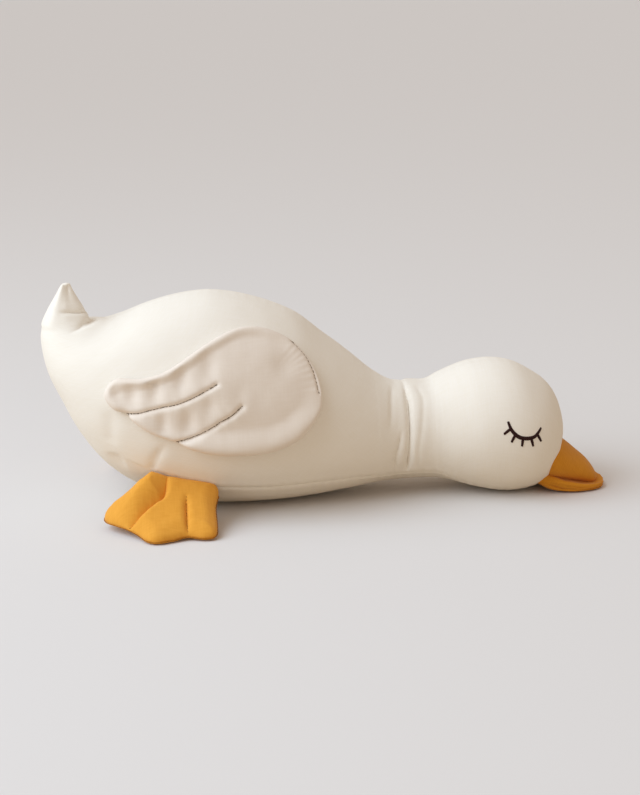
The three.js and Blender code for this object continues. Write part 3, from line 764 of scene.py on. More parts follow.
@dataclass(frozen=True)
class TwistedThread:
    """Sewing or embroidery thread: plies twisted together, with a low silky sheen along the twist, partly
    painted in as pale bands.

    Attributes:
        name: The real material's name.
        pale: Its colour on top of a ply, a painted highlight.
        deep: Its colour between the plies, painted shade.
        ply: How wide a ply is, in millimetres.
        roughness: How matt it is.
    """

    name: str
    pale: str
    deep: str
    ply: float
    roughness: float

    def build(self) -> bpy.types.Material:
        """Makes the material, in which the twist is a fine slanting band as wide as a ply, painted pale on the
        ply as light and dark between plies as shade.
        """
        material, tree = new_material(self.name)
        position = add_node(tree, "ShaderNodeTexCoord")
        bands = add_node(
            tree, "ShaderNodeTexWave",
            {"Vector": position.outputs["Object"], "Scale": 0.3 / (self.ply * MM), "Distortion": 2.0},
            bands_direction="DIAGONAL",
        )
        # The twist bands paint the ply's top pale as a highlight and the gaps between plies dark as shade.
        mix = add_node(
            tree, "ShaderNodeMix",
            {0: bands.outputs["Fac"], 6: colour(self.deep), 7: colour(self.pale)}, data_type="RGBA",
        )
        bump = add_node(
            tree, "ShaderNodeBump", {"Height": bands.outputs["Fac"], "Distance": 0.1 * MM, "Strength": 0.6}
        )
        surface = add_node(tree, "ShaderNodeBsdfPrincipled", {
            "Base Color": mix.outputs[2], "Roughness": self.roughness, "Normal": bump.outputs[0],
            "Sheen Weight": 0.05, "Specular IOR Level": 0.2,
        })
        add_node(tree, "ShaderNodeOutputMaterial", {"Surface": surface.outputs[0]})
        return material


@dataclass
class Finishes:
    """The duck's materials, made once."""

    linen: bpy.types.Material
    wing_linen: bpy.types.Material
    foot_cotton: bpy.types.Material
    bill_cotton: bpy.types.Material
    eye_thread: bpy.types.Material
    dark_thread: bpy.types.Material
    foot_thread: bpy.types.Material

    @classmethod
    def made(cls) -> "Finishes":
        """All finishes. The weaves are coarser than the real ones, which the picture can't show."""
        linen = dict(pitch=1.2, slub_length=16, relief=0.03, roughness=0.9, sheen=0.15, blotch=0.1)
        cotton = dict(pitch=1.0, slub_length=10, relief=0.03, roughness=0.8, sheen=0.1, blotch=0.14)
        return cls(
            # Washed linen: off-white and matt, nearly smooth to the eye, with the faintest uneven threads.
            linen=WovenCloth("washed linen", "#f7f4ef", "#f4f0e8", **linen).build(),
            # The same linen drawn a little darker and pinker: painted shade, which lets the wing stand off
            # from the body.
            wing_linen=WovenCloth("blush linen", "#f2eae3", "#eee5dc", **linen).build(),
            # Closely woven mustard cotton: a full warm colour, a little duller where the dye took less.
            foot_cotton=WovenCloth("mustard cotton", "#ecab44", "#e39f38", **cotton).build(),
            # The same cotton drawn darker and browner: painted shade, for the bill that lies in shade.
            bill_cotton=WovenCloth("ochre cotton", "#db9529", "#cf8820", **cotton).build(),
            # Six-strand floss: nearly black brown with a dull silky light along each stitch.
            eye_thread=TwistedThread("brown floss", "#3a1713", "#260d0a", 0.4, 0.8).build(),
            # Grey-brown sewing thread: a thin dark broken line on the pale wing.
            dark_thread=TwistedThread("grey sewing thread", "#8b7d6d", "#665a4c", 0.25, 0.7).build(),
            # Mustard sewing thread drawn a little darker than the foot: painted shade, so that the channels
            # and the front seam read as lines of shade.
            foot_thread=TwistedThread("mustard sewing thread", "#b8761f", "#9a6118", 0.25, 0.7).build(),
        )


# Stitches


@dataclass(frozen=True)
class StitchPlan:
    """How a line is stitched, in millimetres and radians.

    Attributes:
        pitch: The step from stitch to stitch.
        length: A stitch's length.
        thread: The thread's thickness.
        rise: How high the stitch arches over the line.
        dip: How deep its ends go under the line.
        turn: How far the stitch is turned from the line's own way.
        jitter: How far each stitch may turn from that by chance.
        seed: Which chance to take.
    """

    pitch: float
    length: float
    thread: float
    rise: float
    dip: float
    turn: float = 0.0
    jitter: float = 0.06
    seed: int = 1


class StitchTree:
    """Geometry nodes that lay a row of arched stitches along a line, square to the cloth under them."""

    inputs = ("Pitch", "Length", "Thread", "Rise", "Dip", "Turn", "Jitter")

    def __init__(self, material: bpy.types.Material) -> None:
        """Builds the tree for one thread's material."""
        self.tree = bpy.data.node_groups.new("stitches " + material.name, "GeometryNodeTree")
        face = self.tree.interface
        face.new_socket("Geometry", in_out="INPUT", socket_type="NodeSocketGeometry")
        self.sockets = {
            name: face.new_socket(name, in_out="INPUT", socket_type="NodeSocketFloat").identifier
            for name in self.inputs
        }
        self.sockets["Seed"] = face.new_socket("Seed", in_out="INPUT", socket_type="NodeSocketInt").identifier
        face.new_socket("Geometry", in_out="OUTPUT", socket_type="NodeSocketGeometry")
        self.lay(material)

    def lay(self, material: bpy.types.Material) -> None:
        """Adds the nodes: a stitch, the points along the line, and the stitches on them made real."""
        tree = self.tree
        given = add_node(tree, "NodeGroupInput")
        half = add_math(tree, "MULTIPLY", given.outputs["Length"], 0.5)
        back = add_math(tree, "MULTIPLY", half, -1.0)
        down = add_math(tree, "MULTIPLY", given.outputs["Dip"], -1.0)
        ends = [add_node(tree, "ShaderNodeCombineXYZ", {"X": along, "Z": down}) for along in (back, half)]
        crown = add_node(tree, "ShaderNodeCombineXYZ", {"Z": given.outputs["Rise"]})
        arch = add_node(tree, "GeometryNodeCurveQuadraticBezier", {
            "Resolution": 6, "Middle": crown.outputs[0],
            "Start": ends[0].outputs[0], "End": ends[1].outputs[0],
        })
        section = add_node(
            tree, "GeometryNodeCurvePrimitiveCircle", {"Resolution": 6, "Radius": given.outputs["Thread"]}
        )
        stitch = add_node(tree, "GeometryNodeCurveToMesh", {
            "Curve": arch.outputs[0], "Profile Curve": section.outputs[0], "Fill Caps": True,
        })
        line = add_node(tree, "GeometryNodeMeshToCurve", {0: given.outputs["Geometry"]})
        points = add_node(
            tree, "GeometryNodeResampleCurve",
            {"Curve": line.outputs[0], "Length": given.outputs["Pitch"]}, mode="LENGTH",
        )
        tangent = add_node(tree, "GeometryNodeInputTangent")
        look = add_node(tree, "GeometryNodeInputNamedAttribute", {"Name": "look"}, data_type="FLOAT_VECTOR")
        level = add_node(tree, "FunctionNodeAlignRotationToVector", {"Vector": look.outputs[0]}, axis="Z")
        aimed = add_node(
            tree, "FunctionNodeAlignRotationToVector",
            {"Rotation": level.outputs[0], "Vector": tangent.outputs[0]}, axis="X", pivot_axis="Z",
        )
        chance = add_node(tree, "FunctionNodeRandomValue", {
            2: add_math(tree, "MULTIPLY", given.outputs["Jitter"], -1.0), 3: given.outputs["Jitter"],
            "Seed": given.outputs["Seed"],
        }, data_type="FLOAT")
        slant = add_math(tree, "ADD", given.outputs["Turn"], chance.outputs[1])
        swing = add_node(tree, "ShaderNodeCombineXYZ", {"Z": slant})
        turned = add_node(tree, "FunctionNodeRotateRotation", {
            "Rotation": aimed.outputs[0], "Rotate By": swing.outputs[0],
        }, rotation_space="LOCAL")
        reach = add_node(tree, "GeometryNodeInputNamedAttribute", {"Name": "reach"}, data_type="FLOAT")
        scale = add_node(
            tree, "ShaderNodeCombineXYZ", {"X": reach.outputs[0], "Y": 1.0, "Z": reach.outputs[0]}
        )
        laid = add_node(tree, "GeometryNodeInstanceOnPoints", {
            "Points": points.outputs[0], "Instance": stitch.outputs[0],
            "Rotation": turned.outputs[0], "Scale": scale.outputs[0],
        })
        real = add_node(tree, "GeometryNodeRealizeInstances", {0: laid.outputs[0]})
        shaded = add_node(tree, "GeometryNodeSetShadeSmooth", {0: real.outputs[0]})
        painted = add_node(tree, "GeometryNodeSetMaterial", {0: shaded.outputs[0], "Material": material})
        add_node(tree, "NodeGroupOutput", {0: painted.outputs[0]})

    def sew(self, name: str, lines: Sequence["StitchLine"], plan: StitchPlan) -> bpy.types.Object:
        """Sews lines and returns them as one plain mesh.

        Args:
            name: The piece's name.
            lines: The lines to sew.
            plan: The stitches.

        Returns:
            The object, linked to the scene.
        """
        corners = np.concatenate([line.points for line in lines]) * MM
        edges, start = [], 0
        for line in lines:
            edges.extend([i, i + 1] for i in range(start, start + len(line.points) - 1))
            start += len(line.points)
        mesh = bpy.data.meshes.new(name + "_line")
        mesh.from_pydata(corners.tolist(), edges, [])
        looks = np.concatenate([line.look for line in lines]).astype(np.float32)
        mesh.attributes.new("look", "FLOAT_VECTOR", "POINT").data.foreach_set("vector", looks.ravel())
        reaches = np.concatenate([line.reach for line in lines]).astype(np.float32)
        mesh.attributes.new("reach", "FLOAT", "POINT").data.foreach_set("value", reaches)
        guide = linked(name + "_line", mesh)
        modifier = guide.modifiers.new("Stitches", "NODES")
        modifier.node_group = self.tree
        values = (plan.pitch * MM, plan.length * MM, plan.thread * MM / 2, plan.rise * MM, plan.dip * MM,
                  plan.turn, plan.jitter)
        for key, value in zip(self.inputs, values):
            modifier[self.sockets[key]] = float(value)
        modifier[self.sockets["Seed"]] = plan.seed
        depsgraph = bpy.context.evaluated_depsgraph_get()
        depsgraph.update()
        sewn = bpy.data.meshes.new_from_object(guide.evaluated_get(depsgraph), depsgraph=depsgraph)
        bpy.data.objects.remove(guide)
        sewn.name = name
        for attribute in ("look", "reach"):
            if attribute in sewn.attributes:
                sewn.attributes.remove(sewn.attributes[attribute])
        return linked(name, sewn)


@dataclass
class StitchLine:
    """A line to be sewn.

    Attributes:
        points: Its points, in millimetres.
        look: The way the cloth faces at each of them.
        reach: The share of the plan's length and height that a stitch has at each of them.
    """

    points: Array
    look: Array
    reach: Array

    def on(self, side: Side) -> "StitchLine":
        """The line, which is drawn for the right side, as it is on a side: the same or mirrored."""
        return StitchLine(self.points * side.flip, self.look * side.flip, self.reach)

    def laid(self, shape: ClothShape, lift: float, above: float = 25.0) -> "StitchLine":
        """The same line let down onto a shape.

        Args:
            shape: The shape under it.
            lift: How far over the shape the line stays.
            above: From how far over the line the shape is looked for, and to how far under it.

        Returns:
            The line, on the shape's face that looks the way that the line does.
        """
        tree = BVHTree.FromPolygons(np.concatenate(shape.corners).tolist(), shape.faces)
        points = []
        for point, look in zip(self.points, self.look):
            hit = tree.ray_cast(Vector(point + look * above), Vector(-look), 2 * above)[0]
            points.append(point if hit is None else np.array(hit) + look * lift)
        return StitchLine(np.array(points), self.look, self.reach)

    def knot(self, size: float = 1.1, lift: float = 0.12, reach: float = 0.9) -> "StitchLine":
        """A few stitches sewn to and fro over the line's first end, which fasten the thread.

        Args:
            size: How much larger than in millimetres the steps below are.
            lift: How far they lie over the line's own stitches.
            reach: The share of the plan's length and height that they have.

        Returns:
            The line of those stitches.
        """
        start, look = self.points[0], self.look[0]
        way = self.points[3] - start
        way = way / np.linalg.norm(way)
        across = np.cross(look, way)
        steps = ((0, 0), (2.6, 0.2), (0.4, -0.3), (2.8, -0.1), (0.2, 0.3), (2.4, 0.0))
        points = np.array([start + size * (a * way + b * across) + look * lift for a, b in steps])
        return StitchLine(points, np.repeat(look[None], len(points), axis=0), np.full(len(points), reach))


# Pieces of the duck


@dataclass(frozen=True)
class Fold:
    """A crease in the cover, drawn on the duck's right side and repeated on its left, in millimetres.

    Attributes:
        path: The points that it runs through, as stations and degrees from the back.
        depth: How far the cloth drops in it.
        width: How wide it opens.
        lip: How far the cloth swells on both sides of it.
        lip_reach: How far from it that swell is highest.
        fades: How far it takes to run out at the path's first end and at its last one.
        rounded: Whether it is a soft hollow instead of a sharp crease.
    """

    path: tuple[tuple[float, float], ...]
    depth: float
    width: float
    lip: float = 0.0
    lip_reach: float = 4.0
    fades: tuple[float, float] = (8.0, 8.0)
    rounded: bool = False

    def rise(self, points: Array) -> Array:
        """How far the crease moves the cloth at points of the plain skin."""
        places = open_line(self.path, 10 * len(self.path))
        line = DUCK.point(places[:, 0], np.radians(places[:, 1]))
        right = points.copy()
        right[..., 1] = -np.abs(right[..., 1])
        reach = 4 * max(self.width, self.lip_reach if self.lip else 0)
        near = np.all((right > line.min(axis=0) - reach) & (right < line.max(axis=0) + reach), axis=-1)
        away, along, _ = line_distance(right[near], line)
        length = np.linalg.norm(np.diff(line, axis=0), axis=1).sum()
        ends = smooth(along, 0, self.fades[0]) * smooth(length - along, 0, self.fades[1])
        drop = bell(away, self.width) if self.rounded else np.exp(-away / self.width)
        height = np.zeros(points.shape[:-1])
        height[near] = ends * (self.lip * swell(away / self.lip_reach) - self.depth * drop)
        return height


def swell(share: Array) -> Array:
    """A bulge beside a seam or crease: 0 at it, 1 at a share of 1, and fading out beyond."""
    return share * np.exp(1 - share)


def pillow(share: Array) -> Array:
    """The round rise of stuffed cloth from a seam at 0 to its full height at 1."""
    return np.sqrt(1 - (1 - np.clip(share, 0, 1)) ** 2)


TAIL_FOLDS = (
    Fold(((4.6, 2), (4.3, 40), (4.12, 66), (4.07, 90), (4.06, 112)), 1.9, 1.8, 0.8, 3.0, (6.0, 8.0)),
    Fold(((5.9, 0), (5.63, 36), (6.01, 56), (6.42, 76), (6.85, 94)), 1.1, 2.2, 0.3, 5.0, (9.0, 14.0)),
    Fold(((2.1, 62), (2.5, 50)), 0.3, 1.0, 0.0, 2.0, (1.0, 1.5), True),
)
NECK_FOLDS = (
    Fold(
        ((20.63, 0), (20.66, 30), (20.7, 42), (20.7, 62), (20.7, 80), (20.66, 108), (20.63, 122), (20.6, 136)),
        5.2, 1.9, 0.8, 6.0, (36.0, 18.0),
    ),
    Fold(((20.63, 0), (20.66, 30), (20.7, 62)), 0.5, 2.4, 0.0, 4.0, (0.1, 8.0), True),
    Fold(
        ((20.3, 72), (20.2, 80), (20.1, 91), (19.95, 102), (19.88, 114), (20.10, 128)),
        1.9, 1.9, 0.4, 4.0, (14.0, 12.0),
    ),
    Fold(
        ((19.93, 12), (19.84, 30), (19.74, 44), (19.66, 63), (19.52, 80)),
        0.8, 2.6, 0.2, 4.0, (14.0, 14.0), True,
    ),
    Fold(
        ((21.39, 10), (21.39, 25), (21.55, 42), (21.39, 74), (21.23, 99), (21.32, 126)),
        0.55, 2.4, 0.2, 4.0, (14.0, 12.0), True,
    ),
)
RUMP_FOLDS = (
    Fold(((12.84, 128), (12.80, 119), (12.85, 110), (12.97, 104)), 1.2, 3.6, 0.8, 7.0, (3.0, 14.0)),
    Fold(((11.82, 135), (12.06, 138), (12.25, 135)), 1.2, 7.0, 0.0, 4.0, (4.0, 4.0), True),
    Fold(((11.0, 104), (11.4, 118), (11.7, 130)), 0.8, 6.0, 0.0, 4.0, (14.0, 8.0), True),
)


@dataclass
class Cover:
    """The linen over torso, tail and head: one smooth skin, cut into three pieces at the seat and the neck.

    Attributes:
        side_columns: The count of columns on each side.
        gusset_columns: The count of columns on the belly gusset and the chin panel.
        crowding: How much closer the columns lie along the seams than midway between them.
        seam_groove: How deep a seam draws the cloth in.
        seam_width: How wide that groove is.
        seam_swell: How far the cloth swells beside it.
        swell_place: How far from the seam that swell is highest.
        back_seam: The share of all this that the seam along the back shows.
        pucker: The height of the small puckers that run off a seam.
        pucker_pitch: The step from pucker to pucker.
        lump_height: The height of the stuffing's soft lumps.
        grain_height: The height of the smaller ones on them.
        neck_tuck: How far the cloth is drawn in under the slack neck.
        facet: How far the tail's flat sides lie in.
        facet_edge: How far the edge below them stands out.
    """

    side_columns: int = 120
    gusset_columns: int = 76
    crowding: float = 0.6
    seam_groove: float = 0.9
    seam_width: float = 1.1
    seam_swell: float = 0.35
    swell_place: float = 4.5
    back_seam: float = 0.4
    pucker: float = 0.3
    pucker_pitch: float = 7.5
    lump_height: float = 0.7
    grain_height: float = 0.2
    neck_tuck: float = 1.6
    facet: float = 2.0
    facet_edge: float = 1.3

    def crowded(self, count: int) -> Array:
        """Shares of the way from seam to seam, closer together near both."""
        share = np.arange(count) / count
        return (share - self.crowding * np.sin(2 * np.pi * share) / (2 * np.pi))[None, :]

    def columns(self, station: Array) -> Array:
        """The turns of the columns at each station, with close ones along the seams."""
        seam = gusset_turn(station)[:, None]
        side, gusset = self.crowded(self.side_columns), self.crowded(self.gusset_columns)
        far = 2 * np.pi - seam
        return np.concatenate([seam * side, seam + (far - seam) * gusset, far + seam * side], axis=1)

    @staticmethod
    def rows(
        spans: Sequence[tuple[float, float, float]], samples: int = 400, beside: float = 0.12
    ) -> Array:
        """Stations for the rows.

        Args:
            spans: The first station, the last one and the step in millimetres of each span.
            samples: The count of points that a span's length is measured with.
            beside: How narrow the row at either end is, as a share of its neighbour. Narrow ones make the
                smooth shading of two pieces agree where they meet.

        Returns:
            The stations.
        """
        stations: list[Array] = []
        for start, end, step in spans:
            fine = np.linspace(start, end, samples)
            line = [DUCK.point(fine, np.full(samples, turn)) for turn in (0, np.pi / 2, np.pi)]
            lengths = np.mean([np.linalg.norm(np.diff(points, axis=0), axis=1) for points in line], axis=0)
            reach = np.concatenate([[0], np.cumsum(lengths)])
            count = max(2, int(round(reach[-1] / step)))
            stations.append(np.interp(np.linspace(0, reach[-1], count + 1), reach, fine)[:-1])
        line = np.concatenate([*stations, [spans[-1][1]]])
        first, last = line[0] + beside * (line[1] - line[0]), line[-1] - beside * (line[-1] - line[-2])
        return np.concatenate([line[:1], [first], line[1:-1], [last], line[-1:]])

    def relief(self, points: Array, station: Array, turn: Array) -> Array:
        """How far the cloth lies over the plain skin, below zero in seams and creases."""
        tail = 1 - smooth(station, 3.5, SEAT + 1)
        rise = self.lump_height * (1 - 0.6 * tail) * lumps(points, 48, 3.1)
        rise += self.grain_height * lumps(points, 17, 7.7)
        around, belly_seam = from_back(turn), gusset_turn(station)
        # The belly seam lies nearly flat under the rump, and is drawn in only from the legs on.
        under_rump = 0.08 + 0.92 * smooth(station, SEAT + 6.5, SEAT + 8)
        drawn = smooth(station, 2.5, SEAT + 1.5) * (1 - smooth(station, HEAD_END - 1.5, HEAD_END - 0.2))
        half_width = np.maximum(StationCurve(DUCK.rings).at(station)[..., 4], 1)
        wave = np.sin(2 * np.pi * points[..., 0] / self.pucker_pitch + 2.5 * lumps(points, 26, 11.3))
        for seam, share in ((0, self.back_seam), (belly_seam, under_rump), (-belly_seam, under_rump)):
            rise += drawn * share * self.seam_rise((around - seam) * half_width, wave)
        rise += self.facet_rise(station, np.degrees(np.abs(around)))
        neck = smooth(points[..., 0], 12, 40) * (1 - smooth(points[..., 0], 85, 118))
        rise -= self.neck_tuck * neck * smooth(np.abs(around) - belly_seam, -0.03, 0.16)
        for fold in (*TAIL_FOLDS, *NECK_FOLDS, *RUMP_FOLDS):
            rise += fold.rise(points)
        return rise

    def seam_rise(self, away: Array, wave: Array) -> Array:
        """The groove of a seam with the swell and the puckers beside it, at distances from the seam."""
        groove = self.seam_groove * bell(away, self.seam_width)
        ripple = self.pucker * wave * np.exp(-np.abs(away) / 6) * (1 - bell(away, 1.5))
        return self.seam_swell * bell(np.abs(away) - self.swell_place, 3.5) - groove + ripple

    def facet_rise(self, station: Array, degrees: Array) -> Array:
        """The tail's flat sides and the edge below them, at degrees from the front of the tail."""
        front = smooth(station, 0.6, 2.2) * (1 - smooth(station, 4.6, 6.2))
        return front * (self.facet_edge * bell(degrees - 122, 18) - self.facet * bell(degrees - 62, 34))

    def shape(self, spans: Sequence[tuple[float, float, float]], start: Closing, end: Closing) -> ClothShape:
        """A closed piece of the skin.

        Args:
            spans: The rows, as for rows().
            start: How its first end is closed.
            end: How its last end is closed.

        Returns:
            The piece.
        """
        station = self.rows(spans)
        turn = self.columns(station)
        station = np.repeat(station[:, None], turn.shape[1], axis=1)
        plain = DUCK.point(station, turn)
        rise = self.relief(plain, station, turn)
        points = plain + DUCK.outward(station, turn) * rise[..., None]
        points[..., 2] = soft_floor(points[..., 2])
        shape = ClothShape()
        first = shape.add_grid(points)
        count = points.shape[1]
        last = first + (len(points) - 1) * count
        for rim, ring, closing, turned in (
            (first, points[0], start, False), (last, points[-1], end, True),
        ):
            hub = ring.mean(axis=0)
            if closing is Closing.POLE:
                inner = points[1] if rim == first else points[-2]
                hub = hub + 0.25 * (hub - inner.mean(axis=0))
            shape.add_fan(list(range(rim, rim + count)), hub, turned)
        return shape

    def build(self, finishes: Finishes) -> None:
        """Makes the three linen pieces."""
        # The torso's rows lie closest together where the tail and the neck join it.
        spans = (
            (SEAT, SEAT + 1.6, 0.8), (SEAT + 1.6, SEAT + 3, 1.4), (SEAT + 3, SEAT + 10, 2.0),
            (SEAT + 10, SEAT + 12, 1.4), (SEAT + 12, NECK, 1.0),
        )
        torso = self.shape(spans, Closing.FLAT, Closing.FLAT)
        piece = torso.build("body_linen")
        dress(piece, finishes.linen)
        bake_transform(piece)
        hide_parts("side_panel_right", "side_panel_left", "belly_panel", "torso_filling")
        tail = self.shape(((0, SEAT, 0.7),), Closing.POLE, Closing.FLAT)
        piece = tail.build("tail_linen")
        dress(piece, finishes.linen)
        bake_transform(piece)
        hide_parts("tail_cover", "tail_filling")
        head = self.shape(((NECK, HEAD_END, 1.0),), Closing.FLAT, Closing.POLE)
        piece = head.build("head_linen")
        dress(piece, finishes.linen)
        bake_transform(piece)
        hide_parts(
            "head_panel_right", "head_panel_left", "chin_panel", "head_filling", "neck_cover",
            "neck_filling",
        )


def soft_floor(height: Array, roundness: float = 0.8) -> Array:
    """Heights pressed flat by the floor, with a soft edge where the cloth leaves it."""
    pressed = roundness * np.exp(np.minimum(height - roundness, 0) / roundness)
    return np.where(height > roundness, height, pressed)


def dress(
    piece: bpy.types.Object, material: bpy.types.Material
) -> None:
    """Gives a piece its finish, and logs its count of faces.

    Args:
        piece: The piece.
        material: Its finish.
    """
    piece.data.materials.clear()
    piece.data.materials.append(material)
    LOG.info("%s: %d faces", piece.name, len(piece.data.polygons))


@dataclass
class PaddedFlat:
    """A flat stuffed piece: two layers of cloth sewn together round an outline and along channels.

    Attributes:
        outline: The outline's places on the pattern.
        middle: The place on the pattern that the rows close in on.
        base: Turns places on the pattern into points of the ground under the piece.
        rise: The direction that heights over the ground are measured in.
        upper: The height of the upper face, from the ground's points and their distance from the outline.
        lower: The same for the lower face.
        bulge: How far both faces stand out past the seam between them.
        axes: Which two axes the straight weave is laid along.
        inner_rows: The count of rows inside the last edge step.
        edge_steps: How far from the outline the close rows along the edge lie.
    """

    outline: Array
    middle: Array
    base: Callable[[Array], Array]
    rise: Callable[[Array], Array]
    upper: Callable[[Array, Array], Array]
    lower: Callable[[Array, Array], Array]
    bulge: float
    axes: tuple[int, int]
    inner_rows: int = 40
    edge_steps: tuple[float, ...] = (0, 0.25, 0.6, 1.0, 1.5, 2.1, 2.8, 3.6, 4.5, 5.5, 6.7, 8.0, 9.5, 11.2)

    def shape(self) -> ClothShape:
        """The closed shape, its upper face first."""
        rim = self.base(self.outline)
        hub = self.base(self.middle[None])[0]
        reach = np.linalg.norm(rim - hub, axis=1)
        edge = 1 - np.array(self.edge_steps)[:, None] / reach[None, :]
        inner = np.linspace(0, 1, self.inner_rows + 1)[1:-1][::-1, None] * edge[-1][None, :]
        share = np.concatenate([edge, inner])
        flat = self.middle + share[..., None] * (self.outline - self.middle)[None]
        ground, up = self.base(flat), self.rise(flat)
        away, _, _ = line_distance(ground, np.concatenate([rim, rim[:1]]))
        outward = np.cross(np.roll(rim, -1, axis=0) - np.roll(rim, 1, axis=0), up[0])
        outward /= np.linalg.norm(outward, axis=1, keepdims=True)
        if np.mean(np.sum(outward * (rim - hub), axis=1)) < 0:
            outward = -outward
        shoulder = self.bulge * smooth(away, 0, 0.9) * (1 - smooth(away, 1.2, 5))
        shape = ClothShape()
        rims = []
        for surface in (self.upper, self.lower):
            height = surface(ground, away)
            points = ground + up * height[..., None] + outward[None] * shoulder[..., None]
            first = shape.add_grid(points, cloth=points[..., list(self.axes)])
            rims.append((first, points))
            count = points.shape[1]
            last = first + (len(points) - 1) * count
            top = self.base(self.middle[None]) + self.rise(self.middle[None]) * height[-1].mean()
            shape.add_fan(list(range(last, last + count)), top[0], surface is self.upper, self.axes)
        return self.joined(shape, rims)

    @staticmethod
    def joined(shape: ClothShape, rims: Sequence[tuple[int, Array]]) -> ClothShape:
        """Makes both faces share the rim of the first, and turns the second one round."""
        (first, points), (second, _) = rims
        count = points.shape[1]
        faces: list[list[int]] = []
        cloth: list[Array] = []
        lengths, start = np.concatenate(shape.cloth), 0
        for face in shape.faces:
            uv = lengths[start:start + len(face)]
            start += len(face)
            if min(face) >= second:
                face = [first + i - second if i < second + count else i for i in face][::-1]
                uv = uv[::-1]
            faces.append(face)
            cloth.append(uv)
        corners = np.concatenate(shape.corners)
        keep = np.ones(len(corners), bool)
        keep[second:second + count] = False
        number = np.cumsum(keep) - 1
        faces = [[int(number[i]) for i in face] for face in faces]
        return ClothShape([corners[keep]], faces, cloth, int(keep.sum()))


@dataclass(frozen=True)
class Channel:
    """A seam sewn through both layers of a padded piece, which presses the stuffing away to both sides.

    Attributes:
        line: The seam's points.
        reach: How far from the seam the cloth takes to rise to its full height.
        crest: How much higher the cloth stands beside the seam.
        pucker: The height of the small puckers square to the seam.
        pitch: The step from pucker to pucker.
        seed: Which irregularity to take.
        floor: The share of the stuffing that the seam leaves.
        rear_reach: The reach on the rear side, if the cloth rises in a longer slope there, or 0.
        rear_crest: The crest there.
        deepens: Over what length from its start the seam bites fully, or 0 for at once.
    """

    line: Array
    reach: float
    crest: float
    pucker: float
    pitch: float
    seed: float
    floor: float
    rear_reach: float = 0.0
    rear_crest: float = 0.0
    deepens: float = 0.0

    def press(self, points: Array) -> tuple[Array, Array]:
        """The share of the stuffing that is left at points, and the height of crests and puckers there."""
        away, along, toward = line_distance(points, self.line)
        wave = np.sin(2 * np.pi * along / self.pitch + 2.0 * lumps(points, 21, self.seed))
        puckers = self.pucker * wave * np.exp(-away / 7) * smooth(away, 0.3, 2.5)
        left, crest = pillow(away / self.reach), self.crest * swell(away / self.reach)
        if self.rear_reach:
            way = self.line[-1] - self.line[0]
            across = (way[0] * toward[..., 1] - way[1] * toward[..., 0]) / np.linalg.norm(way)
            rear, share = smooth(across, -1.5, 1.5), np.minimum(away / self.rear_reach, 1)
            # A third of the slope rises round like a pillow, and the rest straight.
            left = left + rear * (0.35 * pillow(share) + 0.65 * share - left)
            crest = crest + rear * (self.rear_crest * swell(away / self.rear_reach) - crest)
        # A seam that deepens starts with a third of its bite.
        bite = 0.3 + 0.7 * smooth(along, 0, self.deepens) if self.deepens else 1.0
        return 1 - bite * (1 - self.floor) * (1 - left), puckers + bite * crest


@dataclass(frozen=True)
class Dent:
    """A soft dent in a wing: its place on the torso, and its sizes and depth in millimetres."""

    place: tuple[float, float]
    along: float
    across: float
    depth: float

    def rise(self, points: Array) -> Array:
        """The dent's height at points, which is below zero."""
        gap = points - DUCK.point(*torso_place(*self.place))
        share = (gap[..., 0] / self.along) ** 2 + (gap[..., 1] ** 2 + gap[..., 2] ** 2) / self.across**2
        return -self.depth * np.exp(-share)


# The wing's edge at each point of its outline: how far in the roll of cloth is highest, its height there, and
# how far it takes from there to sink to the level of the middle.
WING_RIM = (
    (6, 5.8, 7), (5.5, 5.6, 7), (5, 5.5, 6), (4, 5.5, 6), (3.3, 5.4, 5.5), (3.3, 5.4, 5.5), (3.3, 5.4, 5.5),
    (3.3, 5.4, 5.5), (3.3, 5.4, 5.5), (3.3, 5.4, 6), (3.2, 5.2, 7), (2.8, 4.6, 9), (2.2, 3.8, 12),
    (2.0, 3.6, 14), (2.4, 4.4, 15), (4.5, 6.4, 16), (6.0, 7.6, 17), (6.5, 8.2, 17), (6.5, 8.2, 16),
    (5.5, 7.0, 13), (2.4, 3.8, 6), (4.5, 5.6, 9), (3.6, 4.8, 7), (2.2, 3.4, 5), (5, 5.6, 7), (6, 5.8, 7),
)
WING_DENTS = (
    Dent((0.347, 0.525), 3.4, 6, 1.4), Dent((0.386, 0.507), 4.6, 9, 2.4), Dent((0.427, 0.468), 5.0, 11, 2.9),
    Dent((0.472, 0.408), 5.6, 10, 2.8), Dent((0.523, 0.352), 6.4, 10, 1.9), Dent((0.474, 0.535), 4.6, 10, 2.2),
    Dent((0.517, 0.512), 5.0, 9, 2.1), Dent((0.545, 0.462), 5.2, 8, 1.3), Dent((0.677, 0.311), 10, 8, 1.4),
    Dent((0.598, 0.431), 6, 8, 0.9), Dent((0.632, 0.395), 16, 17, 1.0),
)


